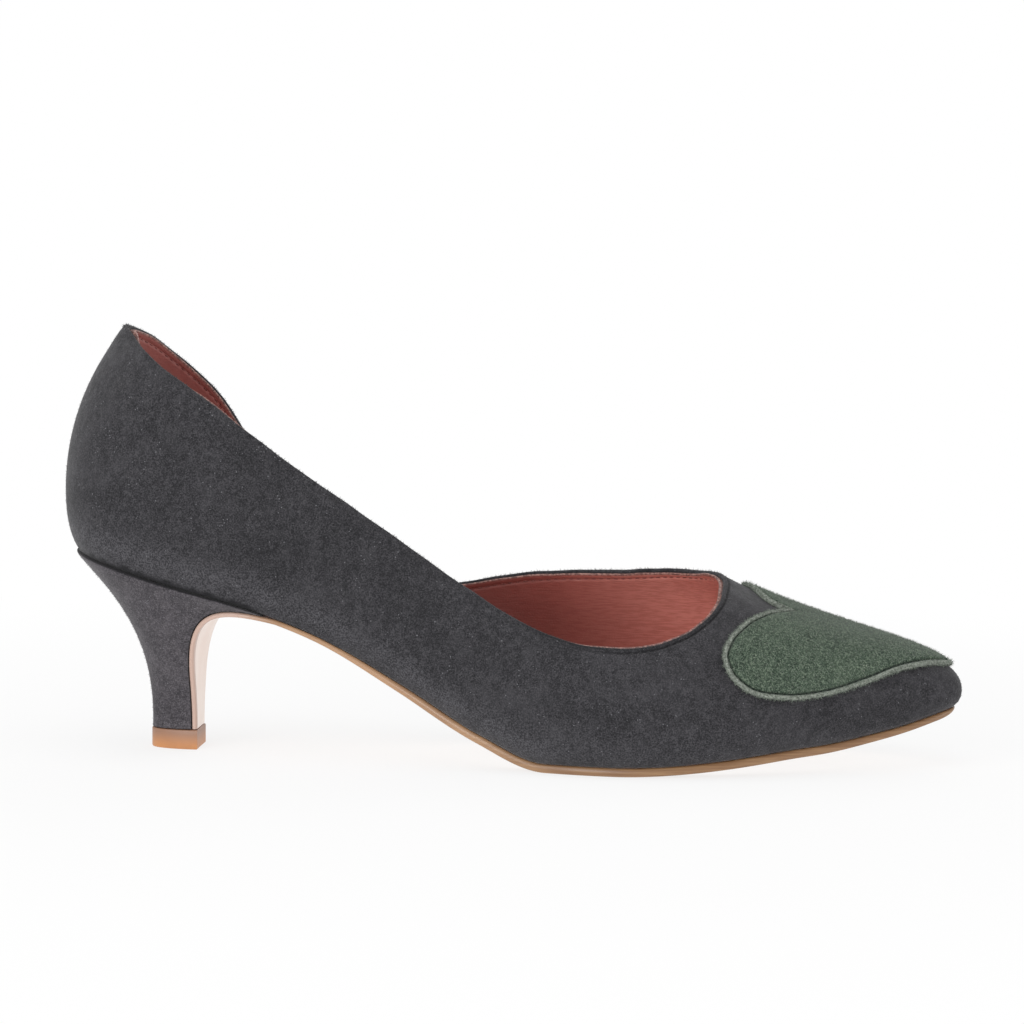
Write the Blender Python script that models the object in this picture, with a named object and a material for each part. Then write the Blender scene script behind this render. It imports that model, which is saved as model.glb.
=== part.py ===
# Kitten heel pump, a right shoe: suede upper, heart overlay, insole, outsole, covered heel and top lift.
# Metres, +Z up, toe towards +X, the lateral side towards -Y, standing on the floor at z = 0.

import math
from collections import namedtuple

import bmesh
import bpy
import numpy as np

# Sizes of the last
shoe_length = 0.252
ball_width = 0.074
waist_width = 0.040
seat_width = 0.0515
heel_height = 0.0566
toe_spring = 0.0144
back_height = 0.0628
throat_height = 0.0467

# Thicknesses
wall = 0.0020
sole_thickness = 0.0024
flap_thickness = 0.0014
insole_thickness = 0.0030
overlay_thickness = 0.0013
lift_thickness = 0.0055

# Gaps between pieces
clearance = 0.0003
overlay_gap = 0.0004
insole_fit = 0.0006

# Sizes of the heel
stem_width = 0.0136
stem_length = 0.0122
breast_at = 0.0369
breast_run = 0.0266
lift_margin = 0.0002

# Height of the seat line over the level of the ball, in shares of the length and of the heel's height
SeatRow = namedtuple("SeatRow", "along rise")
seat_rows = (
    SeatRow(0.000, 1.015),
    SeatRow(0.120, 0.865),
    SeatRow(0.240, 0.705),
    SeatRow(0.300, 0.592),
    SeatRow(0.388, 0.362),
    SeatRow(0.478, 0.122),
    SeatRow(0.552, 0.000),
)
ball_end = 0.630
spring_power = 1.7

# The upper, one row for each section round the feather line, from the back seam by the lateral side to the
# toe and back by the medial side. Each row's shares follow its own width and rise:
#   along, aside           feather point, as shares of shoe_length and of the width
#   bulge, belly           how far out and how high the fullest point of the wall is
#   top_along, top_aside   topline point, as shares of shoe_length and of the width
#   top_up                 height of the topline over the seat line
#   lean_along, lean_aside slope of the wall as it reaches the topline
#   low, high              length of the curve's handles at the fullest point and at the topline
UpperRow = namedtuple(
    "UpperRow",
    "width rise along aside bulge belly top_along top_aside top_up lean_along lean_aside low high",
)
heel_rows = (seat_width, back_height)
arch_rows = (waist_width, back_height)
ball_rows = (ball_width, throat_height)
upper_rows = (
    UpperRow(*heel_rows, 0.014, 0.000, 0.068, 0.26, 0.069, 0.000, 1.051, 0.95, 0.00, 0.45, 0.25),
    UpperRow(*heel_rows, 0.030, -0.243, 0.062, 0.27, 0.079, -0.155, 1.035, 0.75, 0.30, 0.42, 0.28),
    UpperRow(*heel_rows, 0.071, -0.408, 0.055, 0.28, 0.103, -0.340, 0.981, 0.45, 0.45, 0.40, 0.30),
    UpperRow(*heel_rows, 0.159, -0.495, 0.058, 0.28, 0.167, -0.485, 0.879, 0.15, 0.35, 0.40, 0.32),
    UpperRow(*heel_rows, 0.258, -0.476, 0.075, 0.27, 0.258, -0.509, 0.726, 0.05, 0.20, 0.40, 0.33),
    UpperRow(*arch_rows, 0.377, -0.570, 0.120, 0.25, 0.369, -0.612, 0.643, 0.00, 0.15, 0.40, 0.33),
    UpperRow(*ball_rows, 0.484, -0.382, 0.062, 0.27, 0.472, -0.378, 0.818, 0.00, 0.20, 0.40, 0.33),
    UpperRow(*ball_rows, 0.587, -0.493, 0.052, 0.23, 0.571, -0.466, 0.732, 0.00, 0.35, 0.40, 0.33),
    UpperRow(*ball_rows, 0.683, -0.509, 0.047, 0.21, 0.647, -0.466, 0.693, -0.15, 0.55, 0.38, 0.34),
    UpperRow(*ball_rows, 0.794, -0.403, 0.040, 0.18, 0.698, -0.385, 0.743, -0.55, 0.80, 0.38, 0.38),
    UpperRow(*ball_rows, 0.897, -0.240, 0.034, 0.15, 0.729, -0.275, 0.850, -1.15, 0.80, 0.40, 0.44),
    UpperRow(*ball_rows, 0.964, -0.122, 0.030, 0.11, 0.738, -0.142, 0.943, -1.65, 0.60, 0.44, 0.46),
    UpperRow(*ball_rows, 0.992, 0.000, 0.027, 0.09, 0.736, -0.013, 1.000, -1.70, 0.10, 0.46, 0.46),
    UpperRow(*ball_rows, 0.964, 0.135, 0.030, 0.11, 0.727, 0.074, 1.020, -1.65, -0.50, 0.44, 0.45),
    UpperRow(*ball_rows, 0.897, 0.257, 0.034, 0.15, 0.706, 0.182, 1.024, -1.25, -0.90, 0.40, 0.42),
    UpperRow(*ball_rows, 0.794, 0.403, 0.040, 0.18, 0.669, 0.277, 1.030, -0.60, -1.00, 0.38, 0.38),
    UpperRow(*ball_rows, 0.683, 0.486, 0.047, 0.21, 0.619, 0.351, 1.011, -0.20, -0.80, 0.38, 0.34),
    UpperRow(*ball_rows, 0.587, 0.436, 0.058, 0.24, 0.556, 0.399, 0.995, -0.10, -0.50, 0.40, 0.33),
    UpperRow(*ball_rows, 0.484, 0.295, 0.085, 0.27, 0.476, 0.378, 0.805, 0.00, -0.20, 0.40, 0.33),
    UpperRow(*arch_rows, 0.377, 0.412, 0.195, 0.20, 0.381, 0.638, 0.339, 0.00, 0.00, 0.40, 0.33),
    UpperRow(*heel_rows, 0.258, 0.408, 0.088, 0.21, 0.258, 0.491, 0.341, 0.05, -0.10, 0.40, 0.33),
    UpperRow(*heel_rows, 0.206, 0.456, 0.068, 0.26, 0.210, 0.480, 0.537, 0.08, -0.20, 0.40, 0.33),
    UpperRow(*heel_rows, 0.151, 0.485, 0.058, 0.28, 0.167, 0.456, 0.787, 0.15, -0.35, 0.40, 0.32),
    UpperRow(*heel_rows, 0.071, 0.408, 0.055, 0.28, 0.107, 0.346, 0.968, 0.45, -0.45, 0.40, 0.30),
    UpperRow(*heel_rows, 0.030, 0.243, 0.062, 0.27, 0.081, 0.175, 1.035, 0.75, -0.30, 0.42, 0.28),
)

# The curve from the feather line out to the fullest point: how far its handles reach
foot_out = 0.6
foot_up = 0.2
full_down = 0.5
belly_share = 0.2

# The sole's line in side view leaves the seat, bends round the breast and runs down to the top lift.
# Its handles are shares of breast_run and of heel_height, the sliver's end is a share of breast_run.
turn_along = 0.28
turn_height = 0.775
corner_height = 0.715
bend_end = 0.36
sliver_share = 0.805
narrowing_power = 1.2
taper_length = 0.050

# The heel's back curve, with its handles as shares of the way back to stem and of the heel's height,
# and the roundness of the stem's D
back_turn = (0.17, 0.845)
back_corner = (1.05, 0.690)
bow_power = 4
d_power = 2.2

# Fineness of the faceted solids
upper_columns = 100
side_samples = 801
curve_samples = 60
lower_steps = 3
upper_steps = 11
insole_stations = 44
sole_stations = 48
bend_stations = 13
drop_stations = 4
heel_depths = 11
heart_edge_points = 33
heart_rings = 8


def hermite(knots, values, slopes, at):
    i = np.clip(np.searchsorted(knots, at, side="right") - 1, 0, len(knots) - 2)
    span = knots[i + 1] - knots[i]
    t = (at - knots[i]) / span
    start = values[i] * (1 + 2 * t) * (1 - t) ** 2 + slopes[i] * span * t * (1 - t) ** 2
    end = values[i + 1] * (3 - 2 * t) * t**2 + slopes[i + 1] * span * t**2 * (t - 1)
    return start + end


seat_knots = np.array([row.along for row in seat_rows])
seat_values = np.array([row.rise for row in seat_rows])
seat_slopes = np.gradient(seat_values, seat_knots)
seat_slopes[-1] = 0.0


def seat_z(x):
    # Height of the line where upper and insole stand on the sole
    ball_level = sole_thickness + clearance
    along = np.clip(np.asarray(x, float) / shoe_length, 0.0, None)
    rise = hermite(seat_knots, seat_values, seat_slopes, np.minimum(along, seat_knots[-1]))
    toe = np.clip((along - ball_end) / (1.0 - ball_end), 0.0, None) ** spring_power
    return ball_level + (heel_height - ball_level) * rise + toe_spring * toe


def row_sizes(row):
    top_x = row.top_along * shoe_length
    return (
        row.along * shoe_length,
        row.aside * row.width,
        row.bulge * row.width,
        row.belly * row.rise,
        top_x,
        row.top_aside * row.width,
        float(seat_z(top_x)) + row.top_up * row.rise,
        row.lean_along,
        row.lean_aside,
        row.low,
        row.high,
    )


def periodic_slopes(knots, values):
    # Slopes of the smooth closed curve through the rows
    count = len(values)
    span = np.diff(knots)
    system = np.zeros((count, count))
    right = np.zeros_like(values)
    for i in range(count):
        before = (i - 1) % count
        after = (i + 1) % count
        system[i, before] += 1 / span[before]
        system[i, i] += 2 / span[before] + 2 / span[i]
        system[i, after] += 1 / span[i]
        right[i] = 3 * (values[i] - values[before]) / span[before] ** 2
        right[i] += 3 * (values[after] - values[i]) / span[i] ** 2
    return np.linalg.solve(system, right)


sized_rows = np.array([row_sizes(row) for row in upper_rows])
closed_rows = np.vstack([sized_rows, sized_rows[:1]])
feather_gaps = np.linalg.norm(np.diff(closed_rows[:, 0:2], axis=0), axis=1)
topline_gaps = np.linalg.norm(np.diff(closed_rows[:, 4:7], axis=0), axis=1)
row_knots = np.concatenate([[0.0], np.cumsum(feather_gaps + topline_gaps)])
row_knots /= row_knots[-1]
row_slopes = periodic_slopes(row_knots, sized_rows)
row_slopes = np.vstack([row_slopes, row_slopes[:1]])


def sections(u):
    u = np.mod(np.asarray(u, float), 1.0)
    return np.array([hermite(row_knots, closed_rows[:, i], row_slopes[:, i], u) for i in range(11)])


def feather(u):
    x, y = sections(u)[0:2]
    return np.stack([x, y, seat_z(x)], axis=-1)


def outward(u):
    step = 1e-4
    ahead = feather(u + step) - feather(u - step)
    normal = np.stack([ahead[..., 1], -ahead[..., 0], np.zeros_like(ahead[..., 0])], axis=-1)
    return normal / np.linalg.norm(normal, axis=-1, keepdims=True)


def bezier(a, b, c, d, t):
    t = np.asarray(t)[..., None]
    return a * (1 - t) ** 3 + 3 * b * t * (1 - t) ** 2 + 3 * c * t**2 * (1 - t) + d * t**3


def surface(u, v):
    # Outer face of the upper: v runs from the feather line (0) past the fullest point to the topline (1)
    x, y, bulge, belly, top_x, top_y, top_z, lean_along, lean_aside, low, high = sections(u)
    up = np.array([0.0, 0.0, 1.0])
    foot = np.stack([x, y, seat_z(x)], axis=-1)
    out = outward(u)
    full = foot + out * bulge[..., None] + up * belly[..., None]
    top = np.stack([top_x, top_y, top_z], axis=-1)
    lean = np.stack([lean_along, lean_aside, np.ones_like(low)], axis=-1)
    lean /= np.linalg.norm(lean, axis=-1, keepdims=True)
    reach = np.linalg.norm(top - full, axis=-1, keepdims=True)
    rise = (top_z - full[..., 2])[..., None]
    lower = bezier(
        foot,
        foot + out * foot_out * bulge[..., None] + up * foot_up * belly[..., None],
        full - up * full_down * belly[..., None],
        full,
        np.clip(v / belly_share, 0.0, 1.0),
    )
    upper = bezier(
        full,
        full + up * low[..., None] * rise,
        top - lean * high[..., None] * reach,
        top,
        np.clip((v - belly_share) / (1 - belly_share), 0.0, 1.0),
    )
    return np.where((v < belly_share)[..., None], lower, upper)


def surface_normal(u, v):
    step = 1e-3
    along = surface(u + step, v) - surface(u - step, v)
    climb = surface(u, np.minimum(v + step, 1.0)) - surface(u, np.maximum(v - step, 0.0))
    normal = np.cross(along, climb)
    return normal / np.linalg.norm(normal, axis=-1, keepdims=True)


def new_piece(name, points, faces, material):
    mesh = bpy.data.meshes.new(name)
    mesh.from_pydata([tuple(p) for p in points], [], faces)
    work = bmesh.new()
    work.from_mesh(mesh)
    bmesh.ops.remove_doubles(work, verts=work.verts, dist=1e-6)
    bmesh.ops.dissolve_degenerate(work, edges=work.edges, dist=1e-6)
    bmesh.ops.recalc_face_normals(work, faces=work.faces)
    work.to_mesh(mesh)
    work.free()
    mesh.shade_smooth()
    mesh.set_sharp_from_angle(angle=math.radians(40))
    mesh.materials.append(material)
    piece = bpy.data.objects.new(name, mesh)
    bpy.context.collection.objects.link(piece)
    return piece


def new_material(name, colour, roughness):
    material = bpy.data.materials.new(name)
    material.use_nodes = True
    shader = material.node_tree.nodes["Principled BSDF"]
    shader.inputs["Base Color"].default_value = (*colour, 1.0)
    shader.inputs["Roughness"].default_value = roughness
    shader.inputs["Metallic"].default_value = 0.0
    return material


def ring_faces(rings, size):
    # Faces between neighbouring closed rings of points
    faces = []
    for ring in range(rings - 1):
        for i in range(size):
            a = ring * size + i
            b = ring * size + (i + 1) % size
            faces.append((a, b, b + size, a + size))
    return faces


def make_upper(material):
    u = np.arange(upper_columns) / upper_columns
    lower = np.linspace(0.0, belly_share, lower_steps + 1)
    upper = np.linspace(belly_share, 1.0, upper_steps + 1)
    levels = np.concatenate([lower, upper[1:]])
    outer = []
    inner = []
    for v in levels:
        level = np.full_like(u, v)
        outer.append(surface(u, level))
        inner.append(outer[-1] - surface_normal(u, level) * wall)
    inner[0] = feather(u) - outward(u) * wall
    inner[0][:, 2] = seat_z(inner[0][:, 0])
    rings = outer + inner[::-1]
    faces = ring_faces(len(rings), upper_columns)
    last = (len(rings) - 1) * upper_columns
    for i in range(upper_columns):
        j = (i + 1) % upper_columns
        faces.append((last + i, last + j, j, i))
    return new_piece("upper", np.concatenate(rings), faces, material)


# The feather line's two sides, as functions of the distance from the back of the shoe
side_u = np.linspace(0.0, 1.0, side_samples)


def sides(inset, x):
    line = feather(side_u) - outward(side_u) * inset
    tip = int(np.argmax(line[:, 0]))
    back = int(np.argmin(line[:, 0]))
    line = np.roll(line[:-1], -back, axis=0)
    tip = (tip - back) % (len(side_u) - 1)
    lateral = line[: tip + 1]
    medial = np.vstack([line[tip:], line[:1]])[::-1]
    x = np.clip(x, line[:, 0].min(), line[:, 0].max())
    return np.interp(x, lateral[:, 0], lateral[:, 1]), np.interp(x, medial[:, 0], medial[:, 1])


def stations(start, end, count, round_start, round_end):
    # Distances that crowd towards a rounded end
    t = np.linspace(0.0, 1.0, count)
    if round_start and round_end:
        t = (1 - np.cos(math.pi * t)) / 2
    elif round_start:
        t = 1 - np.cos(math.pi / 2 * t)
    elif round_end:
        t = np.sin(math.pi / 2 * t)
    return start + (end - start) * t


def plank(name, top, bottom, lateral, medial, material):
    # A bent board: its faces run straight across, from the lateral to the medial edge
    count = len(top)
    points = []
    for high, low, left, right in zip(top, bottom, lateral, medial):
        points += [
            (high[0], left, high[1]),
            (high[0], right, high[1]),
            (low[0], right, low[1]),
            (low[0], left, low[1]),
        ]
    faces = ring_faces(count, 4)
    faces.append((3, 2, 1, 0))
    last = 4 * (count - 1)
    faces.append((last, last + 1, last + 2, last + 3))
    return new_piece(name, points, faces, material)


def make_insole(material):
    inset = wall + insole_fit
    line = feather(side_u) - outward(side_u) * inset
    x = stations(line[:, 0].min(), line[:, 0].max(), insole_stations, True, True)
    lateral, medial = sides(inset, x)
    lateral[0] = medial[0] = (lateral[0] + medial[0]) / 2
    lateral[-1] = medial[-1] = (lateral[-1] + medial[-1]) / 2
    z = seat_z(x)
    top = np.stack([x, z + insole_thickness], axis=-1)
    bottom = np.stack([x, z], axis=-1)
    return plank("insole", top, bottom, lateral, medial, material)


def bottom_of_heel():
    return lift_thickness + clearance


def sole_line():
    # Toe to breast, then down the breast: where the top face runs in side view
    tip = float(feather(side_u)[:, 0].max())
    breast_start = breast_at + breast_run
    x = stations(breast_start, tip, sole_stations, False, True)[::-1]
    level = np.stack([x, seat_z(x) - clearance], axis=-1)
    start = level[-1]
    turn = np.array([breast_at + turn_along * breast_run, turn_height * heel_height])
    corner = np.array([breast_at, corner_height * heel_height])
    end = np.array([breast_at, bend_end * heel_height])
    bend = bezier(start, turn, corner, end, np.linspace(0.0, 1.0, bend_stations)[1:])
    drop = np.linspace(end[1], bottom_of_heel(), drop_stations)[1:]
    foot = np.stack([np.full_like(drop, breast_at), drop], axis=-1)
    return level, np.vstack([level, bend, foot])


def line_normal(line):
    ahead = np.gradient(line, axis=0)
    normal = np.stack([-ahead[:, 1], ahead[:, 0]], axis=-1)
    return normal / np.linalg.norm(normal, axis=-1, keepdims=True)


def sole_edges(level, line):
    # Lateral and medial edge of the sole: the feather line, then narrowing down the breast
    lateral, medial = sides(0.0, level[:, 0])
    lateral[0] = medial[0] = (lateral[0] + medial[0]) / 2
    steps = np.linalg.norm(np.diff(line[len(level) - 1 :], axis=0), axis=1)
    share = np.cumsum(steps) / steps.sum()
    ease = (1 + np.cos(math.pi * share**narrowing_power)) / 2
    half = stem_width / 2
    lateral_low = -half + (lateral[-1] + half) * ease
    medial_low = half + (medial[-1] - half) * ease
    return np.concatenate([lateral, lateral_low]), np.concatenate([medial, medial_low])


def make_outsole(material):
    level, line = sole_line()
    lateral, medial = sole_edges(level, line)
    blend = np.clip((line[:, 0] - breast_at - breast_run) / taper_length, 0.0, 1.0)
    blend = blend * blend * (3 - 2 * blend)
    thickness = flap_thickness + (sole_thickness - flap_thickness) * blend
    under = line + line_normal(line) * thickness[:, None]
    under[-1, 1] = line[-1, 1]
    return plank("outsole", line, under, lateral, medial, material)


def along_curve(curve, shares):
    steps = np.concatenate([[0.0], np.cumsum(np.linalg.norm(np.diff(curve, axis=0), axis=1))])
    steps /= steps[-1]
    return np.stack([np.interp(shares, steps, curve[:, i]) for i in range(2)], axis=-1)


def d_width(s):
    # Half width of a D, rounded at the back (0) and flat at the breast (1)
    return (1 - (1 - s) ** d_power) ** (1 / d_power)


def make_heel(material):
    level, line = sole_line()
    lateral, medial = sole_edges(level, line)
    inside = line - line_normal(line) * clearance
    inside[-1, 1] = line[-1, 1]
    sliver_end = breast_at + sliver_share * breast_run
    under = inside[:, 0] < sliver_end
    breast = np.vstack([[sliver_end, float(seat_z(sliver_end)) - clearance], inside[under]])
    left = np.concatenate([lateral[under][:1], lateral[under]])
    right = np.concatenate([medial[under][:1], medial[under]])
    steps = np.concatenate([[0.0], np.cumsum(np.linalg.norm(np.diff(breast, axis=0), axis=1))])
    shares = steps / steps[-1]

    back_x = float(feather(0.0)[0])
    stem_back = breast_at - stem_length
    run = stem_back - back_x
    back = bezier(
        np.array([back_x, float(seat_z(back_x)) - clearance]),
        np.array([back_x + back_turn[0] * run, back_turn[1] * heel_height]),
        np.array([back_x + back_corner[0] * run, back_corner[1] * heel_height]),
        np.array([stem_back, bottom_of_heel()]),
        np.linspace(0.0, 1.0, curve_samples),
    )
    back = along_curve(back, shares)

    s = stations(0.0, 1.0, heel_depths, True, False)
    seat_x = back_x + (sliver_end - back_x) * s
    seat_left, seat_right = sides(0.0, seat_x)
    seat_left[0] = seat_right[0] = 0.0
    bow = seat_z(seat_x) - clearance - (back[0, 1] + (breast[0, 1] - back[0, 1]) * s)
    points = []
    for k, share in enumerate(shares):
        blend = share * share * (3 - 2 * share)
        ratio_left = seat_left / seat_left[-1] * (1 - blend) + d_width(s) * blend
        ratio_right = seat_right / seat_right[-1] * (1 - blend) + d_width(s) * blend
        x = back[k, 0] + (breast[k, 0] - back[k, 0]) * s
        z = back[k, 1] + (breast[k, 1] - back[k, 1]) * s + bow * (1 - share) ** bow_power
        near = np.stack([x, ratio_left * left[k], z], axis=-1)
        far = np.stack([x, ratio_right * right[k], z], axis=-1)
        points.append(np.vstack([near[::-1], far[1:]]))
    size = 2 * heel_depths - 1
    faces = ring_faces(len(points), size)
    for first in (0, (len(points) - 1) * size):
        middle = first + heel_depths - 1
        faces.append((middle - 1, middle, middle + 1))
        for k in range(2, heel_depths):
            faces.append((middle - k, middle - k + 1, middle + k - 1, middle + k))
    return new_piece("heel", np.concatenate(points), faces, material)


def make_top_lift(material):
    back_x = breast_at - stem_length - lift_margin
    front_x = breast_at + flap_thickness + lift_margin
    half = stem_width / 2 + lift_margin
    s = stations(0.0, 1.0, heel_depths, True, False)
    x = back_x + (front_x - back_x) * s
    y = d_width(s) * half
    near = np.stack([x, -y], axis=-1)
    far = np.stack([x, y], axis=-1)
    outline = np.vstack([near[::-1], far[1:]])
    size = len(outline)
    floor = [(*point, 0.0) for point in outline]
    roof = [(*point, lift_thickness) for point in outline]
    faces = ring_faces(2, size)
    faces.append(tuple(range(size))[::-1])
    faces.append(tuple(range(size, 2 * size)))
    return new_piece("top_lift", floor + roof, faces, material)


# The heart's edge on the upper's own face, as the u and v of surface: from its point at the toe by the
# lateral lobe to the cleft, and back by the medial lobe
HeartPoint = namedtuple("HeartPoint", "around up")
lateral_lobe = (
    HeartPoint(0.503, 0.345),
    HeartPoint(0.489, 0.398),
    HeartPoint(0.474, 0.413),
    HeartPoint(0.456, 0.388),
    HeartPoint(0.436, 0.360),
    HeartPoint(0.418, 0.390),
    HeartPoint(0.408, 0.500),
    HeartPoint(0.411, 0.660),
    HeartPoint(0.422, 0.795),
    HeartPoint(0.437, 0.866),
    HeartPoint(0.456, 0.892),
    HeartPoint(0.476, 0.880),
    HeartPoint(0.495, 0.836),
)
medial_lobe = (
    HeartPoint(0.495, 0.836),
    HeartPoint(0.495, 0.875),
    HeartPoint(0.499, 0.905),
    HeartPoint(0.511, 0.921),
    HeartPoint(0.529, 0.910),
    HeartPoint(0.548, 0.862),
    HeartPoint(0.568, 0.765),
    HeartPoint(0.584, 0.625),
    HeartPoint(0.588, 0.490),
    HeartPoint(0.579, 0.375),
    HeartPoint(0.562, 0.352),
    HeartPoint(0.543, 0.386),
    HeartPoint(0.525, 0.409),
    HeartPoint(0.503, 0.345),
)
heart_middle = HeartPoint(0.496, 0.620)


def smooth_through(rows, count):
    # Evenly spaced u and v along a smooth curve through the rows
    rows = np.array(rows)
    gaps = np.diff(surface(rows[:, 0], rows[:, 1]), axis=0)
    knots = np.concatenate([[0.0], np.cumsum(np.linalg.norm(gaps, axis=1))])
    slopes = np.gradient(rows, knots, axis=0)
    at = np.linspace(0.0, knots[-1], count)
    return np.stack([hermite(knots, rows[:, i], slopes[:, i], at) for i in range(2)])


def make_heart(material):
    near = smooth_through(lateral_lobe, heart_edge_points)
    far = smooth_through(medial_lobe, heart_edge_points)
    edge = np.hstack([near[:, :-1], far[:, :-1]])
    middle = np.array(heart_middle)[:, None]
    size = edge.shape[1]
    under = []
    over = []
    for ring in range(heart_rings + 1):
        u, v = middle + (edge - middle) * (1 - ring / heart_rings)
        face = surface(u, v)
        normal = surface_normal(u, v)
        under.append(face + normal * overlay_gap)
        over.append(face + normal * (overlay_gap + overlay_thickness))
    rings = under[::-1] + over
    return new_piece("heart_overlay", np.concatenate(rings), ring_faces(len(rings), size), material)


def main():
    for old in list(bpy.data.objects):
        bpy.data.objects.remove(old, do_unlink=True)
    pieces = [
        make_upper(new_material("suede", (0.060, 0.058, 0.063), 0.95)),
        make_heart(new_material("green_suede", (0.093, 0.117, 0.093), 0.95)),
        make_insole(new_material("pink_leather", (0.223, 0.058, 0.044), 0.50)),
        make_outsole(new_material("sole_leather", (0.418, 0.223, 0.133), 0.40)),
        make_heel(new_material("heel_suede", (0.091, 0.087, 0.093), 0.95)),
        make_top_lift(new_material("lift_rubber", (0.407, 0.219, 0.141), 0.45)),
    ]
    # The origin is on the floor, under the middle of the upper's box
    corners = np.array([vertex.co[:] for vertex in pieces[0].data.vertices])
    middle = (corners.min(axis=0) + corners.max(axis=0)) / 2
    for piece in pieces:
        piece.location = (-middle[0], -middle[1], 0.0)


main()
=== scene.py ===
import math
from collections import namedtuple

import bmesh
import bpy
import numpy as np
from mathutils import Matrix, Vector


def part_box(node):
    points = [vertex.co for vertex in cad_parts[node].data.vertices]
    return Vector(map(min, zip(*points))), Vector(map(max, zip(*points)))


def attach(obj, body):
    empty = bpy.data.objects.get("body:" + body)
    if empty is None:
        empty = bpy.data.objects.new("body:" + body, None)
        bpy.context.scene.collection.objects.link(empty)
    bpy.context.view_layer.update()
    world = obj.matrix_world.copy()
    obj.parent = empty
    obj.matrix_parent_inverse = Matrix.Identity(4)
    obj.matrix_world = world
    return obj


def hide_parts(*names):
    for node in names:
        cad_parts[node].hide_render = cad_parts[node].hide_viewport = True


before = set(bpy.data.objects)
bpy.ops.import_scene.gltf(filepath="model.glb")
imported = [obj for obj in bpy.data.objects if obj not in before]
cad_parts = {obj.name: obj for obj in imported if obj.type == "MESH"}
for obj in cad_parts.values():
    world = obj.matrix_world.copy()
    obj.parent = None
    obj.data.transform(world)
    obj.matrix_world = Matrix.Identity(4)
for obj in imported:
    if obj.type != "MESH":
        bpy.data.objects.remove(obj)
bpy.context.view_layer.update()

print("frame loaded")

last = {
    "length": 0.252,
    "ballWidth": 0.074,
    "waistWidth": 0.040,
    "seatWidth": 0.0515,
    "heelHeight": 0.0566,
    "toeSpring": 0.0144,
    "backHeight": 0.0628,
    "throatHeight": 0.0467,
    "soleThickness": 0.0024,
    "clearance": 0.0003,
    "breastAt": 0.0369,
    "breastRun": 0.0266,
    "stemWidth": 0.0136,
    "stemLength": 0.0122,
    "liftMargin": 0.0002,
}
liftBack = last["breastAt"] - last["stemLength"] - last["liftMargin"]
liftLow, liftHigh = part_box("top_lift")
lastShift = np.array([liftLow.x - liftBack, (liftLow.y + liftHigh.y) / 2, 0.0])

# Height of the seat line over the ball, in shares of the length and of the heel's height
seatRows = np.array([
    (0.000, 1.015),
    (0.120, 0.865),
    (0.240, 0.705),
    (0.300, 0.592),
    (0.388, 0.362),
    (0.478, 0.122),
    (0.552, 0.000),
])
ballEnd = 0.630
springPower = 1.7
# The sole's edge hangs a little lower under the toes
toeDip = {"depth": 0.0008, "middle": 0.226, "reach": 0.0165, "power": 4}

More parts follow.
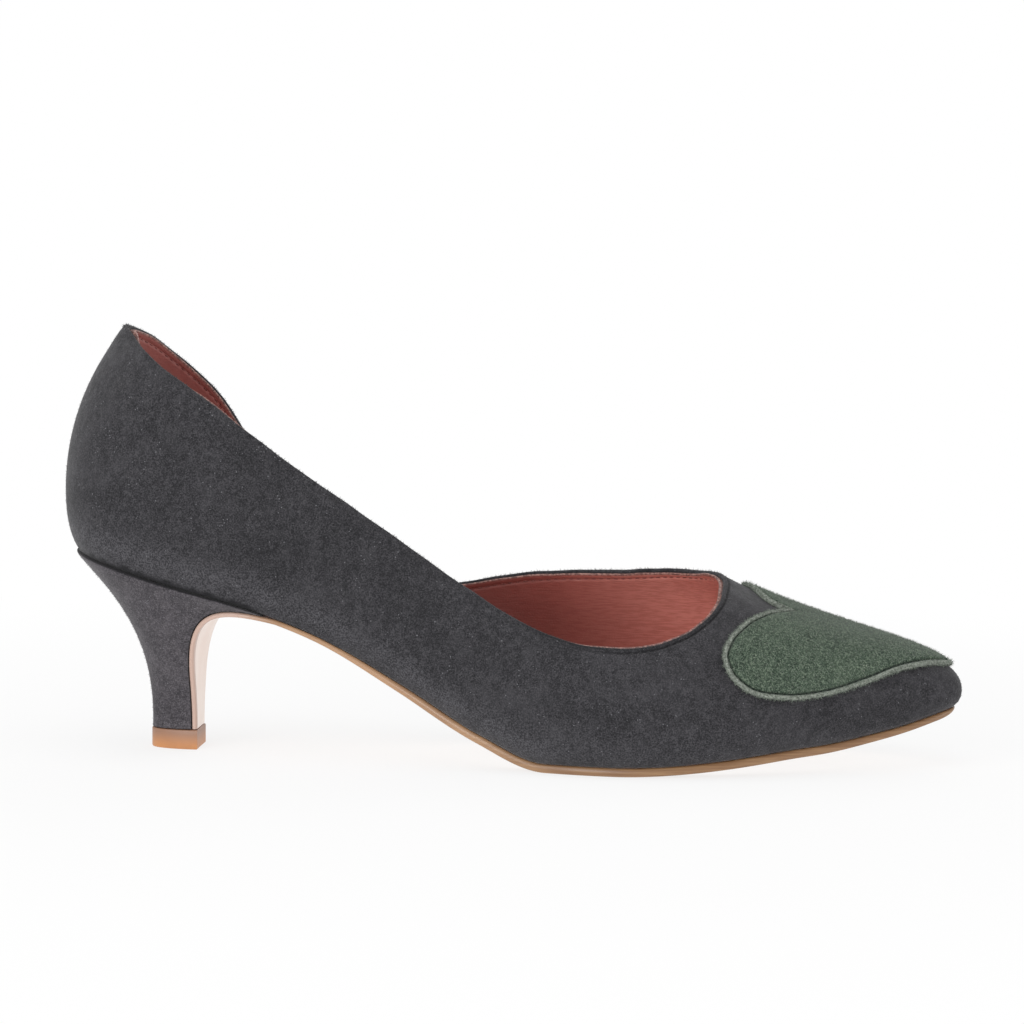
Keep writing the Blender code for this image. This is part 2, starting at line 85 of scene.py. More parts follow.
# One row for each section round the feather line, from the back seam by the lateral side to the toe and back:
# width, rise, then foot point, bulge, belly, topline point, lean and handle lengths, in shares of those
heelRow = (last["seatWidth"], last["backHeight"])
archRow = (last["waistWidth"], last["backHeight"])
ballRow = (last["ballWidth"], last["throatHeight"])
upperRows = (
    (*heelRow, 0.014, 0.000, 0.068, 0.26, 0.069, 0.000, 1.051, 0.95, 0.00, 0.45, 0.25),
    (*heelRow, 0.030, -0.243, 0.062, 0.27, 0.079, -0.155, 1.035, 0.75, 0.30, 0.42, 0.28),
    (*heelRow, 0.071, -0.408, 0.055, 0.28, 0.103, -0.340, 0.981, 0.45, 0.45, 0.40, 0.30),
    (*heelRow, 0.159, -0.495, 0.058, 0.28, 0.167, -0.485, 0.879, 0.15, 0.35, 0.40, 0.32),
    (*heelRow, 0.258, -0.476, 0.075, 0.27, 0.258, -0.509, 0.726, 0.05, 0.20, 0.40, 0.33),
    (*archRow, 0.377, -0.570, 0.120, 0.25, 0.369, -0.612, 0.643, 0.00, 0.15, 0.40, 0.33),
    (*ballRow, 0.484, -0.382, 0.062, 0.27, 0.472, -0.378, 0.818, 0.00, 0.20, 0.40, 0.33),
    (*ballRow, 0.587, -0.493, 0.052, 0.23, 0.571, -0.466, 0.732, 0.00, 0.35, 0.40, 0.33),
    (*ballRow, 0.683, -0.509, 0.047, 0.21, 0.647, -0.466, 0.693, -0.15, 0.55, 0.38, 0.34),
    (*ballRow, 0.794, -0.403, 0.040, 0.18, 0.698, -0.385, 0.743, -0.55, 0.80, 0.38, 0.38),
    (*ballRow, 0.897, -0.240, 0.034, 0.15, 0.729, -0.275, 0.850, -1.15, 0.80, 0.40, 0.44),
    (*ballRow, 0.964, -0.122, 0.030, 0.11, 0.738, -0.142, 0.943, -1.65, 0.60, 0.44, 0.46),
    (*ballRow, 0.992, 0.000, 0.027, 0.09, 0.736, -0.013, 1.000, -1.70, 0.10, 0.46, 0.46),
    (*ballRow, 0.964, 0.135, 0.030, 0.11, 0.727, 0.074, 1.020, -1.65, -0.50, 0.44, 0.45),
    (*ballRow, 0.897, 0.257, 0.034, 0.15, 0.706, 0.182, 1.024, -1.25, -0.90, 0.40, 0.42),
    (*ballRow, 0.794, 0.403, 0.040, 0.18, 0.669, 0.277, 1.030, -0.60, -1.00, 0.38, 0.38),
    (*ballRow, 0.683, 0.486, 0.047, 0.21, 0.619, 0.351, 1.011, -0.20, -0.80, 0.38, 0.34),
    (*ballRow, 0.587, 0.436, 0.058, 0.24, 0.556, 0.399, 0.995, -0.10, -0.50, 0.40, 0.33),
    (*ballRow, 0.484, 0.295, 0.085, 0.27, 0.476, 0.378, 0.805, 0.00, -0.20, 0.40, 0.33),
    (*archRow, 0.377, 0.412, 0.195, 0.20, 0.381, 0.638, 0.339, 0.00, 0.00, 0.40, 0.33),
    (*heelRow, 0.258, 0.408, 0.088, 0.21, 0.258, 0.491, 0.341, 0.05, -0.10, 0.40, 0.33),
    (*heelRow, 0.206, 0.456, 0.068, 0.26, 0.210, 0.480, 0.537, 0.08, -0.20, 0.40, 0.33),
    (*heelRow, 0.151, 0.485, 0.058, 0.28, 0.167, 0.456, 0.787, 0.15, -0.35, 0.40, 0.32),
    (*heelRow, 0.071, 0.408, 0.055, 0.28, 0.107, 0.346, 0.968, 0.45, -0.45, 0.40, 0.30),
    (*heelRow, 0.030, 0.243, 0.062, 0.27, 0.081, 0.175, 1.035, 0.75, -0.30, 0.42, 0.28),
)
footOut = 0.6
footUp = 0.2
fullDown = 0.5
bellyShare = 0.2


def hermite(knots, values, slopes, at):
    i = np.clip(np.searchsorted(knots, at, side="right") - 1, 0, len(knots) - 2)
    span = knots[i + 1] - knots[i]
    t = (at - knots[i]) / span
    start = values[i] * (1 + 2 * t) * (1 - t) ** 2 + slopes[i] * span * t * (1 - t) ** 2
    end = values[i + 1] * (3 - 2 * t) * t**2 + slopes[i + 1] * span * t**2 * (t - 1)
    return start + end


def smooth(low, high, x):
    t = np.clip((x - low) / (high - low), 0.0, 1.0)
    return t * t * (3 - 2 * t)


def unit(v):
    return v / np.linalg.norm(v, axis=-1, keepdims=True)


def bell(x, width, power=2):  # 1 at zero, fading on both sides
    return np.exp(-((x / width) ** power))


def wayAlong(points):  # way from the first point, along the first axis
    gaps = np.linalg.norm(np.diff(points, axis=0), axis=-1)
    return np.concatenate([np.zeros_like(gaps[:1]), np.cumsum(gaps, axis=0)])


seatSlopes = np.gradient(seatRows[:, 1], seatRows[:, 0])
seatSlopes[-1] = 0.0


def seatZ(x):  # the line where upper and insole stand on the sole
    ballLevel = last["soleThickness"] + last["clearance"]
    along = np.clip(np.asarray(x, float) / last["length"], 0.0, None)
    rise = hermite(seatRows[:, 0], seatRows[:, 1], seatSlopes, np.minimum(along, seatRows[-1, 0]))
    toe = np.clip((along - ballEnd) / (1.0 - ballEnd), 0.0, None) ** springPower
    return ballLevel + (last["heelHeight"] - ballLevel) * rise + last["toeSpring"] * toe


def dipped(x):  # the same line with the dip under the toes
    away = np.asarray(x, float) - toeDip["middle"]
    return seatZ(x) - toeDip["depth"] * bell(away, toeDip["reach"], toeDip["power"])


def rowSizes(row):
    width, rise, along, aside, bulge, belly, topAlong, topAside, topUp, *rest = row
    topX = topAlong * last["length"]
    topZ = float(seatZ(topX)) + topUp * rise
    foot = (along * last["length"], aside * width, bulge * width, belly * rise)
    return (*foot, topX, topAside * width, topZ, *rest)


def closedSlopes(knots, values):  # slopes of the smooth closed curve through the rows
    count = len(values)
    span = np.diff(knots)
    system = np.zeros((count, count))
    right = np.zeros_like(values)
    for i in range(count):
        before = (i - 1) % count
        after = (i + 1) % count
        system[i, before] += 1 / span[before]
        system[i, i] += 2 / span[before] + 2 / span[i]
        system[i, after] += 1 / span[i]
        right[i] = 3 * (values[i] - values[before]) / span[before] ** 2
        right[i] += 3 * (values[after] - values[i]) / span[i] ** 2
    return np.linalg.solve(system, right)


sizedRows = np.array([rowSizes(row) for row in upperRows])
closedRows = np.vstack([sizedRows, sizedRows[:1]])
rowKnots = wayAlong(closedRows[:, 0:2]) + wayAlong(closedRows[:, 4:7])
rowKnots /= rowKnots[-1]
rowSlopes = closedSlopes(rowKnots, sizedRows)
rowSlopes = np.vstack([rowSlopes, rowSlopes[:1]])


def sections(u):
    u = np.mod(np.asarray(u, float), 1.0)
    return np.array([hermite(rowKnots, closedRows[:, i], rowSlopes[:, i], u) for i in range(11)])


def feather(u):
    x, y = sections(u)[0:2]
    return np.stack([x, y, dipped(x)], axis=-1)


def outward(u):
    step = 1e-4
    ahead = feather(u + step) - feather(u - step)
    return unit(np.stack([ahead[..., 1], -ahead[..., 0], np.zeros_like(ahead[..., 0])], axis=-1))


def bezier(a, b, c, d, t):
    t = np.asarray(t)[..., None]
    return a * (1 - t) ** 3 + 3 * b * t * (1 - t) ** 2 + 3 * c * t**2 * (1 - t) + d * t**3


def surface(u, v):  # the upper's outer face, with v 0 at the feather line and 1 at the topline
    x, y, bulge, belly, topX, topY, topZ, leanAlong, leanAside, low, high = sections(u)
    up = np.array([0.0, 0.0, 1.0])
    foot = np.stack([x, y, seatZ(x)], axis=-1)
    out = outward(u)
    full = foot + out * bulge[..., None] + up * belly[..., None]
    top = np.stack([topX, topY, topZ], axis=-1)
    lean = unit(np.stack([leanAlong, leanAside, np.ones_like(low)], axis=-1))
    reach = np.linalg.norm(top - full, axis=-1, keepdims=True)
    rise = (topZ - full[..., 2])[..., None]
    edge = np.stack([x, y, dipped(x)], axis=-1)
    lower = bezier(
        edge,
        edge + out * footOut * bulge[..., None] + up * footUp * belly[..., None],
        full - up * fullDown * belly[..., None],
        full,
        np.clip(v / bellyShare, 0.0, 1.0),
    )
    upper = bezier(
        full,
        full + up * low[..., None] * rise,
        top - lean * high[..., None] * reach,
        top,
        np.clip((v - bellyShare) / (1 - bellyShare), 0.0, 1.0),
    )
    return np.where((v < bellyShare)[..., None], lower, upper)


def surfaceFrame(u, v):  # point, normal outwards and direction of climb
    step = 1e-3
    along = surface(u + step, v) - surface(u - step, v)
    climb = surface(u, np.minimum(v + step, 1.0)) - surface(u, np.maximum(v - step, 0.0))
    return surface(u, v), unit(np.cross(along, climb)), unit(climb)


# Mesh and scene helpers

def placed(name, data):
    made = bpy.data.objects.new(name, data)
    bpy.context.collection.objects.link(made)
    return made


def newPiece(name, points, faces, finishes, faceFinish=None, sharp=50):
    mesh = bpy.data.meshes.new(name)
    mesh.from_pydata((np.asarray(points).reshape(-1, 3) + lastShift).tolist(), [], faces)
    for finish in finishes:
        mesh.materials.append(finish)
    if faceFinish is not None:
        mesh.polygons.foreach_set("material_index", np.asarray(faceFinish, np.int32))
    mesh.shade_smooth()
    mesh.set_sharp_from_angle(angle=math.radians(sharp))
    return placed(name, mesh)


def giveAttribute(piece, name, values):
    attribute = piece.data.attributes.new(name, "FLOAT", "POINT")
    attribute.data.foreach_set("value", np.asarray(values, np.float32).ravel())


def gridFaces(rows, columns, closeRows=False):  # round the columns, and round the rows too if asked
    index = np.arange(rows * columns).reshape(rows, columns)
    if closeRows:
        index = np.vstack([index, index[:1]])
    index = np.hstack([index, index[:, :1]])
    quads = np.stack([index[:-1, :-1], index[:-1, 1:], index[1:, 1:], index[1:, :-1]], axis=-1)
    return quads.reshape(-1, 4).tolist()


def cappedFaces(rows, columns):
    start = list(range(columns))[::-1]
    end = [(rows - 1) * columns + i for i in range(columns)]
    return [*gridFaces(rows, columns), start, end]


def fixNormals(piece):
    work = bmesh.new()
    work.from_mesh(piece.data)
    bmesh.ops.remove_doubles(work, verts=work.verts, dist=1e-7)
    bmesh.ops.recalc_face_normals(work, faces=work.faces)
    work.to_mesh(piece.data)
    work.free()


def rideOn(piece, slotName, *nodes):
    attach(piece, "root")
    if nodes:
        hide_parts(*nodes)
    print("made", piece.name, len(piece.data.polygons), "faces")
    return piece


def tone(red, green, blue):  # linear colour of a screen colour from 0 to 255
    share = np.array([red, green, blue]) / 255
    linear = np.where(share <= 0.04045, share / 12.92, ((share + 0.055) / 1.055) ** 2.4)
    return (*linear.tolist(), 1.0)


# Node helpers

class Nodes:
    def __init__(self, tree):
        self.tree = tree

    def node(self, kind, inputs=None, **settings):  # a value or a socket for each input
        made = self.tree.nodes.new(kind)
        for key, value in settings.items():
            setattr(made, key, value)
        for key, value in (inputs or {}).items():
            self.plug(value, made.inputs[key])
        return made

    def plug(self, value, socket):
        if hasattr(value, "is_linked"):
            self.tree.links.new(value, socket)
        else:
            socket.default_value = value


class Finish(Nodes):
    def __init__(self, name):
        self.material = bpy.data.materials.new(name)
        self.material.use_nodes = True
        super().__init__(self.material.node_tree)
        self.shader = self.tree.nodes["Principled BSDF"]
        self.place = self.node("ShaderNodeTexCoord").outputs["Object"]
        self.bump = None

    def noise(self, size, detail=2.0, stretch=(1, 1, 1), roughness=0.5):  # size is one blotch, in metres
        scale = tuple(1 / (size * s) for s in stretch)
        mapping = self.node("ShaderNodeMapping", {"Vector": self.place, "Scale": scale})
        settings = {"Vector": mapping.outputs[0], "Scale": 1.0, "Detail": detail, "Roughness": roughness}
        return self.node("ShaderNodeTexNoise", settings).outputs["Fac"]

    def cells(self, size):
        settings = {"Vector": self.place, "Scale": 1 / size}
        return self.node("ShaderNodeTexVoronoi", settings).outputs["Distance"]

    def ramp(self, value, low, high, least=0.0, most=1.0):
        settings = {"Value": value, "From Min": low, "From Max": high, "To Min": least, "To Max": most}
        return self.node("ShaderNodeMapRange", settings, interpolation_type="SMOOTHSTEP").outputs["Result"]

    def times(self, a, b):
        return self.node("ShaderNodeMath", {0: a, 1: b}, operation="MULTIPLY").outputs[0]

    def mix(self, share, a, b):
        return self.node("ShaderNodeMix", {0: share, 6: a, 7: b}, data_type="RGBA").outputs[2]

    def tint(self, colour, over, value, low, high, least=0.0, most=1.0):  # over, where the value is high
        return self.mix(self.ramp(value, low, high, least, most), colour, over)

    def attribute(self, name):
        return self.node("ShaderNodeAttribute", attribute_name=name).outputs["Fac"]

    def axis(self, letter):
        return self.node("ShaderNodeSeparateXYZ", {0: self.place}).outputs[letter]

    def addBump(self, height, distance, strength=1.0):
        inputs = {"Height": height, "Distance": distance, "Strength": strength}
        if self.bump:
            inputs["Normal"] = self.bump
        self.bump = self.node("ShaderNodeBump", inputs).outputs["Normal"]

    def done(self, colour, roughness, **constants):
        self.plug(colour, self.shader.inputs["Base Color"])
        self.plug(roughness, self.shader.inputs["Roughness"])
        for name, value in constants.items():
            self.shader.inputs[name.replace("_", " ")].default_value = value
        if self.bump:
            self.plug(self.bump, self.shader.inputs["Normal"])
        return self.material


# Finishes

greySuede = {
    "deep": tone(37, 37, 39),
    "body": tone(54, 53, 56),
    "lit": tone(75, 74, 77),
    "fibre": tone(120, 120, 124),
    # the paler colour of the painted light band just above the sole
    "bounceLight": tone(98, 97, 101),
    # painted shade in the grooves, the seams and under the topline
    "groove": tone(26, 26, 28),
    "speck": 0.0010,
    "grain": 0.00042,
    "tuft": 0.0018,
    "cloud": 0.0052,
    "cloudShare": 0.24,
    "brushed": 0.018,
    "brushedShare": 0.22,
    "grainDepth": 0.00012,
    "tuftDepth": 0.00010,
    "brushedDepth": 0.0003,
    "sheen": 0.18,
}
coverSuede = dict(
    greySuede,
    deep=tone(54, 52, 55),
    body=tone(75, 72, 76),
    lit=tone(100, 96, 100),
    tuft=0.0012,
    grainDepth=0.00008,
)
greenSuede = dict(
    greySuede,
    deep=tone(40, 51, 42),
    body=tone(67, 81, 69),
    lit=tone(114, 128, 110),
    fibre=tone(150, 158, 142),
    edgeDeep=tone(92, 98, 90),
    edge=tone(162, 168, 158),
    # painted shade in the stitch groove
    sewn=tone(28, 38, 32),
    tuft=0.0011,
    cloudShare=0.10,
    brushedShare=0.15,
    grainDepth=0.00024,
    tuftDepth=0.00014,
    sheen=0.14,
)


def suedeFinish(name, look, colourShift):
    finish = Finish(name)
    grain = finish.noise(look["grain"], 3.0, roughness=0.65)
    tuft = finish.noise(look["tuft"], 2.0)
    brushed = finish.noise(look["brushed"], 3.0, stretch=(1.6, 1.0, 0.7))
    cloud = finish.noise(look["cloud"], 3.0, stretch=(0.8, 1.0, 1.3), roughness=0.6)
    nap = finish.node("ShaderNodeMath", {0: finish.times(grain, 0.78), 1: finish.times(tuft, 0.22)})
    colour = finish.tint(look["deep"], look["body"], nap.outputs[0], 0.39, 0.50)
    colour = finish.tint(colour, look["lit"], nap.outputs[0], 0.50, 0.61)
    colour = finish.tint(colour, look["lit"], brushed, 0.45, 0.70, 0.0, look["brushedShare"])
    colour = finish.tint(colour, look["deep"], brushed, 0.50, 0.30, 0.0, look["brushedShare"])
    colour = finish.tint(colour, look["lit"], cloud, 0.50, 0.68, 0.0, look["cloudShare"])
    colour = finish.tint(colour, look["deep"], cloud, 0.50, 0.32, 0.0, look["cloudShare"])
    specks = finish.ramp(finish.cells(look["speck"]), 0.20, 0.10)
    rare = finish.ramp(finish.noise(3 * look["speck"], 1.0), 0.56, 0.64)
    colour = finish.mix(finish.times(specks, rare), colour, look["fibre"])
    colour = colourShift(finish, colour)
    finish.addBump(brushed, look["brushedDepth"], 0.5)
    finish.addBump(tuft, look["tuftDepth"])
    finish.addBump(grain, look["grainDepth"])
    return finish.done(
        colour, 0.95, Sheen_Weight=look["sheen"], Sheen_Roughness=0.45, Specular_IOR_Level=0.15
    )


def upperTone(finish, colour):  # paler in a painted light band above the lasted edge, and painted shade in the grooves, along the back seam and under the topline
    patches = finish.ramp(finish.noise(0.009, 3.0), 0.25, 0.60, 0.15, 0.50)
    grain = finish.noise(greySuede["grain"], 2.0)
    pale = finish.tint(greySuede["body"], greySuede["bounceLight"], grain, 0.40, 0.60)
    colour = finish.mix(finish.times(finish.attribute("bounceLight"), patches), colour, pale)
    # painted shade in the grooves and seams
    return finish.tint(colour, greySuede["groove"], finish.attribute("groove"), 0.1, 0.9, 0.0, 0.85)


upperSuede = suedeFinish("greySuede", greySuede, upperTone)
heelSuede = suedeFinish("coverSuede", coverSuede, upperTone)


def heartTone(finish, colour):  # the pressed edge is paler, and painted shade darkens the groove along the line of the thread
    inset = finish.attribute("inset")
    fray = finish.noise(0.00055, 3.0, roughness=0.7)
    pale = finish.tint(greenSuede["edgeDeep"], greenSuede["edge"], fray, 0.36, 0.64)
    colour = finish.tint(colour, pale, inset, 0.00102, 0.00127, 1.0, 0.0)
    # painted shade in the stitch groove
    line = finish.times(finish.ramp(inset, 0.00107, 0.00135), finish.ramp(inset, 0.00143, 0.00185, 1.0, 0.0))
    return finish.mix(finish.times(line, 0.9), colour, greenSuede["sewn"])


heartSuede = suedeFinish("greenSuede", greenSuede, heartTone)

pinkLook = {
    "deep": tone(143, 74, 66),
    "body": tone(160, 86, 77),
    "lit": tone(173, 99, 90),
    # paler colours of the painted light on the lining towards the throat
    "throatLight": tone(232, 160, 147),
    "throatLightDeep": tone(214, 141, 128),
    "shade": tone(119, 62, 55),
    "dusty": tone(180, 122, 116),
    "rawEdge": tone(166, 124, 114),
    "rawDeep": tone(96, 62, 56),
    "creaseSize": 0.00045,
    "creaseDepth": 0.00013,
    "throatGlow": 0.95,
    "poreSize": 0.0005,
    "poreDepth": 0.00003,
}


def pinkFinish(name, withEdge):
    finish = Finish(name)
    crease = finish.noise(pinkLook["creaseSize"], 3.0, stretch=(9.0, 4.0, 0.9), roughness=0.6)
    cloud = finish.noise(0.020, 2.0, stretch=(1.5, 1.0, 0.8))
    pores = finish.cells(pinkLook["poreSize"])
    along = finish.axis("X")
    colour = finish.tint(pinkLook["deep"], pinkLook["body"], crease, 0.30, 0.60)
    colour = finish.tint(colour, pinkLook["lit"], cloud, 0.40, 0.70, 0.0, 0.7)
    waist = finish.times(finish.ramp(along, 0.02, -0.02, 0.0, 0.6), finish.ramp(along, -0.075, -0.045))
    colour = finish.mix(waist, colour, pinkLook["shade"])
    colour = finish.tint(colour, pinkLook["dusty"], along, -0.050, -0.085, 0.0, 0.6)
    colour = finish.tint(colour, pinkLook["shade"], finish.axis("Z"), 0.047, 0.030, 0.0, 0.5)
    # painted light: the lining turns paler towards the throat, where more light falls on it
    throatLight = finish.tint(pinkLook["throatLightDeep"], pinkLook["throatLight"], crease, 0.38, 0.60)
    colour = finish.tint(colour, throatLight, along, 0.0, 0.055, 0.0, pinkLook["throatGlow"])
    if withEdge:
        fray = finish.noise(0.0007, 2.0, roughness=0.7)
        raw = finish.tint(pinkLook["rawDeep"], pinkLook["rawEdge"], fray, 0.40, 0.60)
        colour = finish.mix(finish.attribute("rawEdge"), colour, raw)
    finish.addBump(crease, pinkLook["creaseDepth"], 0.7)
    finish.addBump(pores, pinkLook["poreDepth"])
    return finish.done(colour, finish.ramp(crease, 0.3, 0.7, 0.50, 0.38), Specular_IOR_Level=0.45)


liningLeather = pinkFinish("liningLeather", True)
sockLeather = pinkFinish("sockLeather", False)


def soleEdgeFinish():
    finish = Finish("soleEdge")
    streak = finish.noise(0.0012, 3.0, stretch=(10, 10, 0.4))
    along = finish.axis("X")
    colour = finish.tint(tone(130, 94, 62), tone(156, 120, 84), streak, 0.3, 0.7)
    colour = finish.tint(colour, tone(190, 150, 116), along, -0.035, 0.035, 0.75, 0.0)
    colour = finish.tint(colour, tone(120, 84, 58), finish.noise(0.014, 2.0), 0.45, 0.7, 0.0, 0.3)
    colour = finish.tint(colour, tone(200, 172, 160), along, -0.062, -0.076, 0.0, 0.85)
    finish.addBump(streak, 0.00004)
    return finish.done(colour, 0.38, Coat_Weight=0.25, Coat_Roughness=0.25)


def soleFaceFinish():
    finish = Finish("soleFace")
    cloud = finish.noise(0.018, 3.0, stretch=(2.0, 1.0, 1.0))
    scuff = finish.ramp(finish.noise(0.0016, 2.0, stretch=(8.0, 0.7, 1.0)), 0.56, 0.7, 0.0, 0.5)
    tread = finish.ramp(finish.axis("X"), -0.015, 0.015)
    # the pale colour is partly the leather's own and partly painted reflection of the white surroundings
    colour = finish.tint(tone(240, 220, 208), tone(248, 236, 228), cloud, 0.3, 0.7)
    colour = finish.mix(finish.times(scuff, tread), colour, tone(150, 112, 86))
    finish.addBump(finish.noise(0.0006, 3.0), 0.00003)
    return finish.done(colour, finish.ramp(cloud, 0.3, 0.7, 0.34, 0.46), Coat_Weight=0.2, Coat_Roughness=0.3)


def liftFinish():
    finish = Finish("liftRubber")
    # painted glow: brighter and more orange at the bottom, where light from the floor comes through the
    # rubber
    colour = finish.tint(tone(196, 134, 84), tone(152, 114, 92), finish.axis("Z"), 0.0004, 0.0050)
    colour = finish.tint(colour, tone(164, 116, 84), finish.noise(0.004, 2.0), 0.4, 0.7, 0.0, 0.25)
    finish.addBump(finish.noise(0.0008, 2.0), 0.00002)
    return finish.done(colour, 0.42)


def threadFinish(name, body, lit):
    finish = Finish(name)
    twist = finish.noise(0.00035, 1.0)
    finish.addBump(twist, 0.00005)
    return finish.done(finish.tint(body, lit, twist, 0.35, 0.65), 0.75, Sheen_Weight=0.2)


soleEdge = soleEdgeFinish()
soleFace = soleFaceFinish()
liftRubber = liftFinish()
greyThread = threadFinish("greyThread", tone(30, 30, 32), tone(46, 46, 48))
greenThread = threadFinish("greenThread", tone(34, 46, 38), tone(60, 74, 62))
pinkThread = threadFinish("pinkThread", tone(110, 52, 46), tone(142, 80, 72))
greyFibre = threadFinish("greyFibre", tone(52, 51, 54), tone(80, 79, 82))
greenFibre = threadFinish("greenFibre", tone(84, 93, 83), tone(146, 156, 142))
print("finishes made")

# Upper: the suede shell, folded over the topline, and the lining sewn in behind the fold

shell = {
    "columns": 760,
    "suedeThickness": 0.0012,
    "liningGap": 0.00003,
    "liningThickness": 0.00075,
    "liningDrop": 0.00045,
    "liningShow": 0.00045,
    "rimRows": 26,
    "rimStep": 0.00025,
    "fieldRows": 58,
    "fieldEase": 1.25,
    "innerRows": 10,
    "liningRows": 36,
    "liningLowest": 0.03,
    "rollSteps": 9,
    "liningRollSteps": 5,
    "girth": 0.55,
    "rimWave": 0.00016,
    "rimWaveDown": 0.003,
    "collarWave": 0.00010,
    "collarWaveIn": 0.0045,
    "collarWaveWidth": 0.003,
    "creaseReach": 0.012,
    "stitchIn": 0.0023,
    "pucker": 0.00009,
    "puckerIn": 0.0036,
    "puckerWidth": 0.0018,
    "grooveIn": 0.0015,
    "grooveWidth": 0.00042,
    "grooveDepth": 0.00038,
    "bandPuff": 0.00012,
    "bandPuffIn": 0.0009,
    "bandPuffWidth": 0.0004,
    "seamWidth": 0.0006,
    "seamDepth": 0.00030,
    "backRoll": 0.0007,
    "backRollWidth": 0.010,
    "backRollDown": 0.006,
    # where the painted light band lies above the sole, and where it fades towards the toe
    "bounceLightUp": 0.0060,
    "bounceLightWidth": 0.0045,
    "bounceLightFade": (0.125, 0.165),
    "bounceLightToe": (0.19, 0.22),
    "heelSeamUp": (0.0019, 0.0006),
    "heelSeamEnds": (0.054, 0.064),
    "raggedSeam": 0.00045,
    "seamFade": 0.004,
    "rimShadeDown": (0.0012, 0.0006),
    "napField": 0.22,
    "napRim": (0.0020, 0.0006),
    "napFoot": (0.001, 0.003),
    "rawBehind": (0.0022, 0.0010),
    "rawInFront": (0.0011, 0.0006),
}
# Stretches round the shoe, as u where each starts, is full, fades and ends
stretches = {
    "throatGroove": (0.30, 0.40, 0.62, 0.72),
    "throatShade": (0.26, 0.32, 0.44, 0.50),
    "throatEdge": (0.29, 0.35, 0.53, 0.57),
    "heelEdge": (0.0, 0.02, 0.11, 0.15),
    "heelHidden": (0.020, 0.035, 0.075, 0.095),
    "farHeelEdge": (0.80, 0.87, 0.985, 1.0),
}
rimDepth = shell["rimRows"] * shell["rimStep"]
foldRadius = shell["suedeThickness"] / 2
liningRadius = shell["liningThickness"] / 2
liningBack = shell["suedeThickness"] + shell["liningGap"]
liningFront = liningBack + shell["liningThickness"]

# Soft troughs (depth below zero) and ridges: u, v, length, width, turn in degrees, depth
creases = (
    (0.30, 0.16, 0.030, 0.0022, 2, 0.00028),
    (0.35, 0.18, 0.026, 0.0020, -3, 0.00022),
    (0.21, 0.14, 0.034, 0.0026, 1, 0.00030),
    (0.14, 0.30, 0.016, 0.0050, 20, -0.00030),
    (0.08, 0.48, 0.010, 0.0060, 70, -0.00035),
    (0.03, 0.72, 0.008, 0.0050, 60, -0.00040),
    (0.96, 0.60, 0.010, 0.0060, 95, -0.00035),
    (0.27, 0.62, 0.020, 0.0040, 25, -0.00025),
    (0.33, 0.50, 0.018, 0.0050, -15, -0.00028),
    (0.385, 0.30, 0.022, 0.0040, 8, -0.00022),
    (0.45, 0.22, 0.014, 0.0024, 5, 0.00020),
    (0.66, 0.35, 0.024, 0.0046, -10, -0.00030),
    (0.74, 0.45, 0.020, 0.0050, 12, -0.00030),
    (0.61, 0.20, 0.020, 0.0026, -4, 0.00024),
)


def creaseDepth(points):
    depth = np.zeros(points.shape[:-1])
    for u, v, length, width, turn, amount in creases:
        centre, normal, climb = surfaceFrame(np.array(u), np.array(v))
        side = np.cross(climb, normal)
        turned = math.radians(turn)
        along = side * math.cos(turned) + climb * math.sin(turned)
        across = climb * math.cos(turned) - side * math.sin(turned)
        gap = points - centre
        through = bell(gap @ normal, shell["creaseReach"])
        depth += amount * bell(gap @ along, length) * bell(gap @ across, width) * through
    return depth


def ripple(u, size, *waves):  # a slow closed wave round the shoe, each as (count, phase)
    return size * sum(np.sin(2 * math.pi * (count * u + phase)) for count, phase in waves) / len(waves)


shellU = np.arange(shell["columns"]) / shell["columns"]
shellRow = np.ones(shell["columns"])
denseV = np.linspace(0.0, 1.0, 301)[:, None]
climbed = wayAlong(surface(shellU[None, :], denseV))  # way up from the feather line
topFace, topNormal, topClimb = surfaceFrame(shellU, np.ones_like(shellU))
rimWave = ripple(shellU, shell["rimWave"], (23, 0.1), (37, 0.4), (9, 0.7))


def levelsBelowRim(below):  # v of each point, from its way down from the topline
    columns = range(shell["columns"])
    found = [np.interp(climbed[-1, j] - below[:, j], climbed[:, j], denseV[:, 0]) for j in columns]
    return np.stack(found, axis=1)


def rowsBelowRim(start, fieldRows, lowest):
    rim = np.arange(start, rimDepth, shell["rimStep"])[:, None] * shellRow
    share = np.linspace(0.0, 1.0, fieldRows)[:, None] ** shell["fieldEase"]
    field = rimDepth + (climbed[-1] * (1 - lowest) - rimDepth) * share
    return np.vstack([rim, field])


def inStretch(stretch, u):  # 1 in the stretch, 0 beyond it
    start, full, fading, end = stretches[stretch]
    return smooth(start, full, u) * (1 - smooth(fading, end, u))


def swayAt(below, climb, wave):  # the rim's wave, fading downwards
    return climb * (wave * np.exp(-below / shell["rimWaveDown"]))[..., None]


def rollOver(middle, across, up, steps):  # half a turn from the outer face over the rim to the inner one
    turn = np.linspace(0.0, math.pi, steps + 2)[1:-1]
    return np.array([middle + topNormal * across * math.cos(a) + topClimb * up * math.sin(a) for a in turn])


def grooveAt(below, wayIn):
    return bell(below - wayIn, shell["grooveWidth"])


def grooveShare(u):  # the sewn line is pressed in round the throat and lost in the nap along the quarters
    return 0.22 + 0.78 * inStretch("throatGroove", u)


def nearBack(u, width):
    return bell(np.minimum(u, 1 - u) * shell["girth"], width)


def backSeam(u):
    return nearBack(u, shell["seamWidth"])


def backRoll(u):  # the collar is thicker over the back seam
    return shell["backRoll"] * nearBack(u, shell["backRollWidth"])


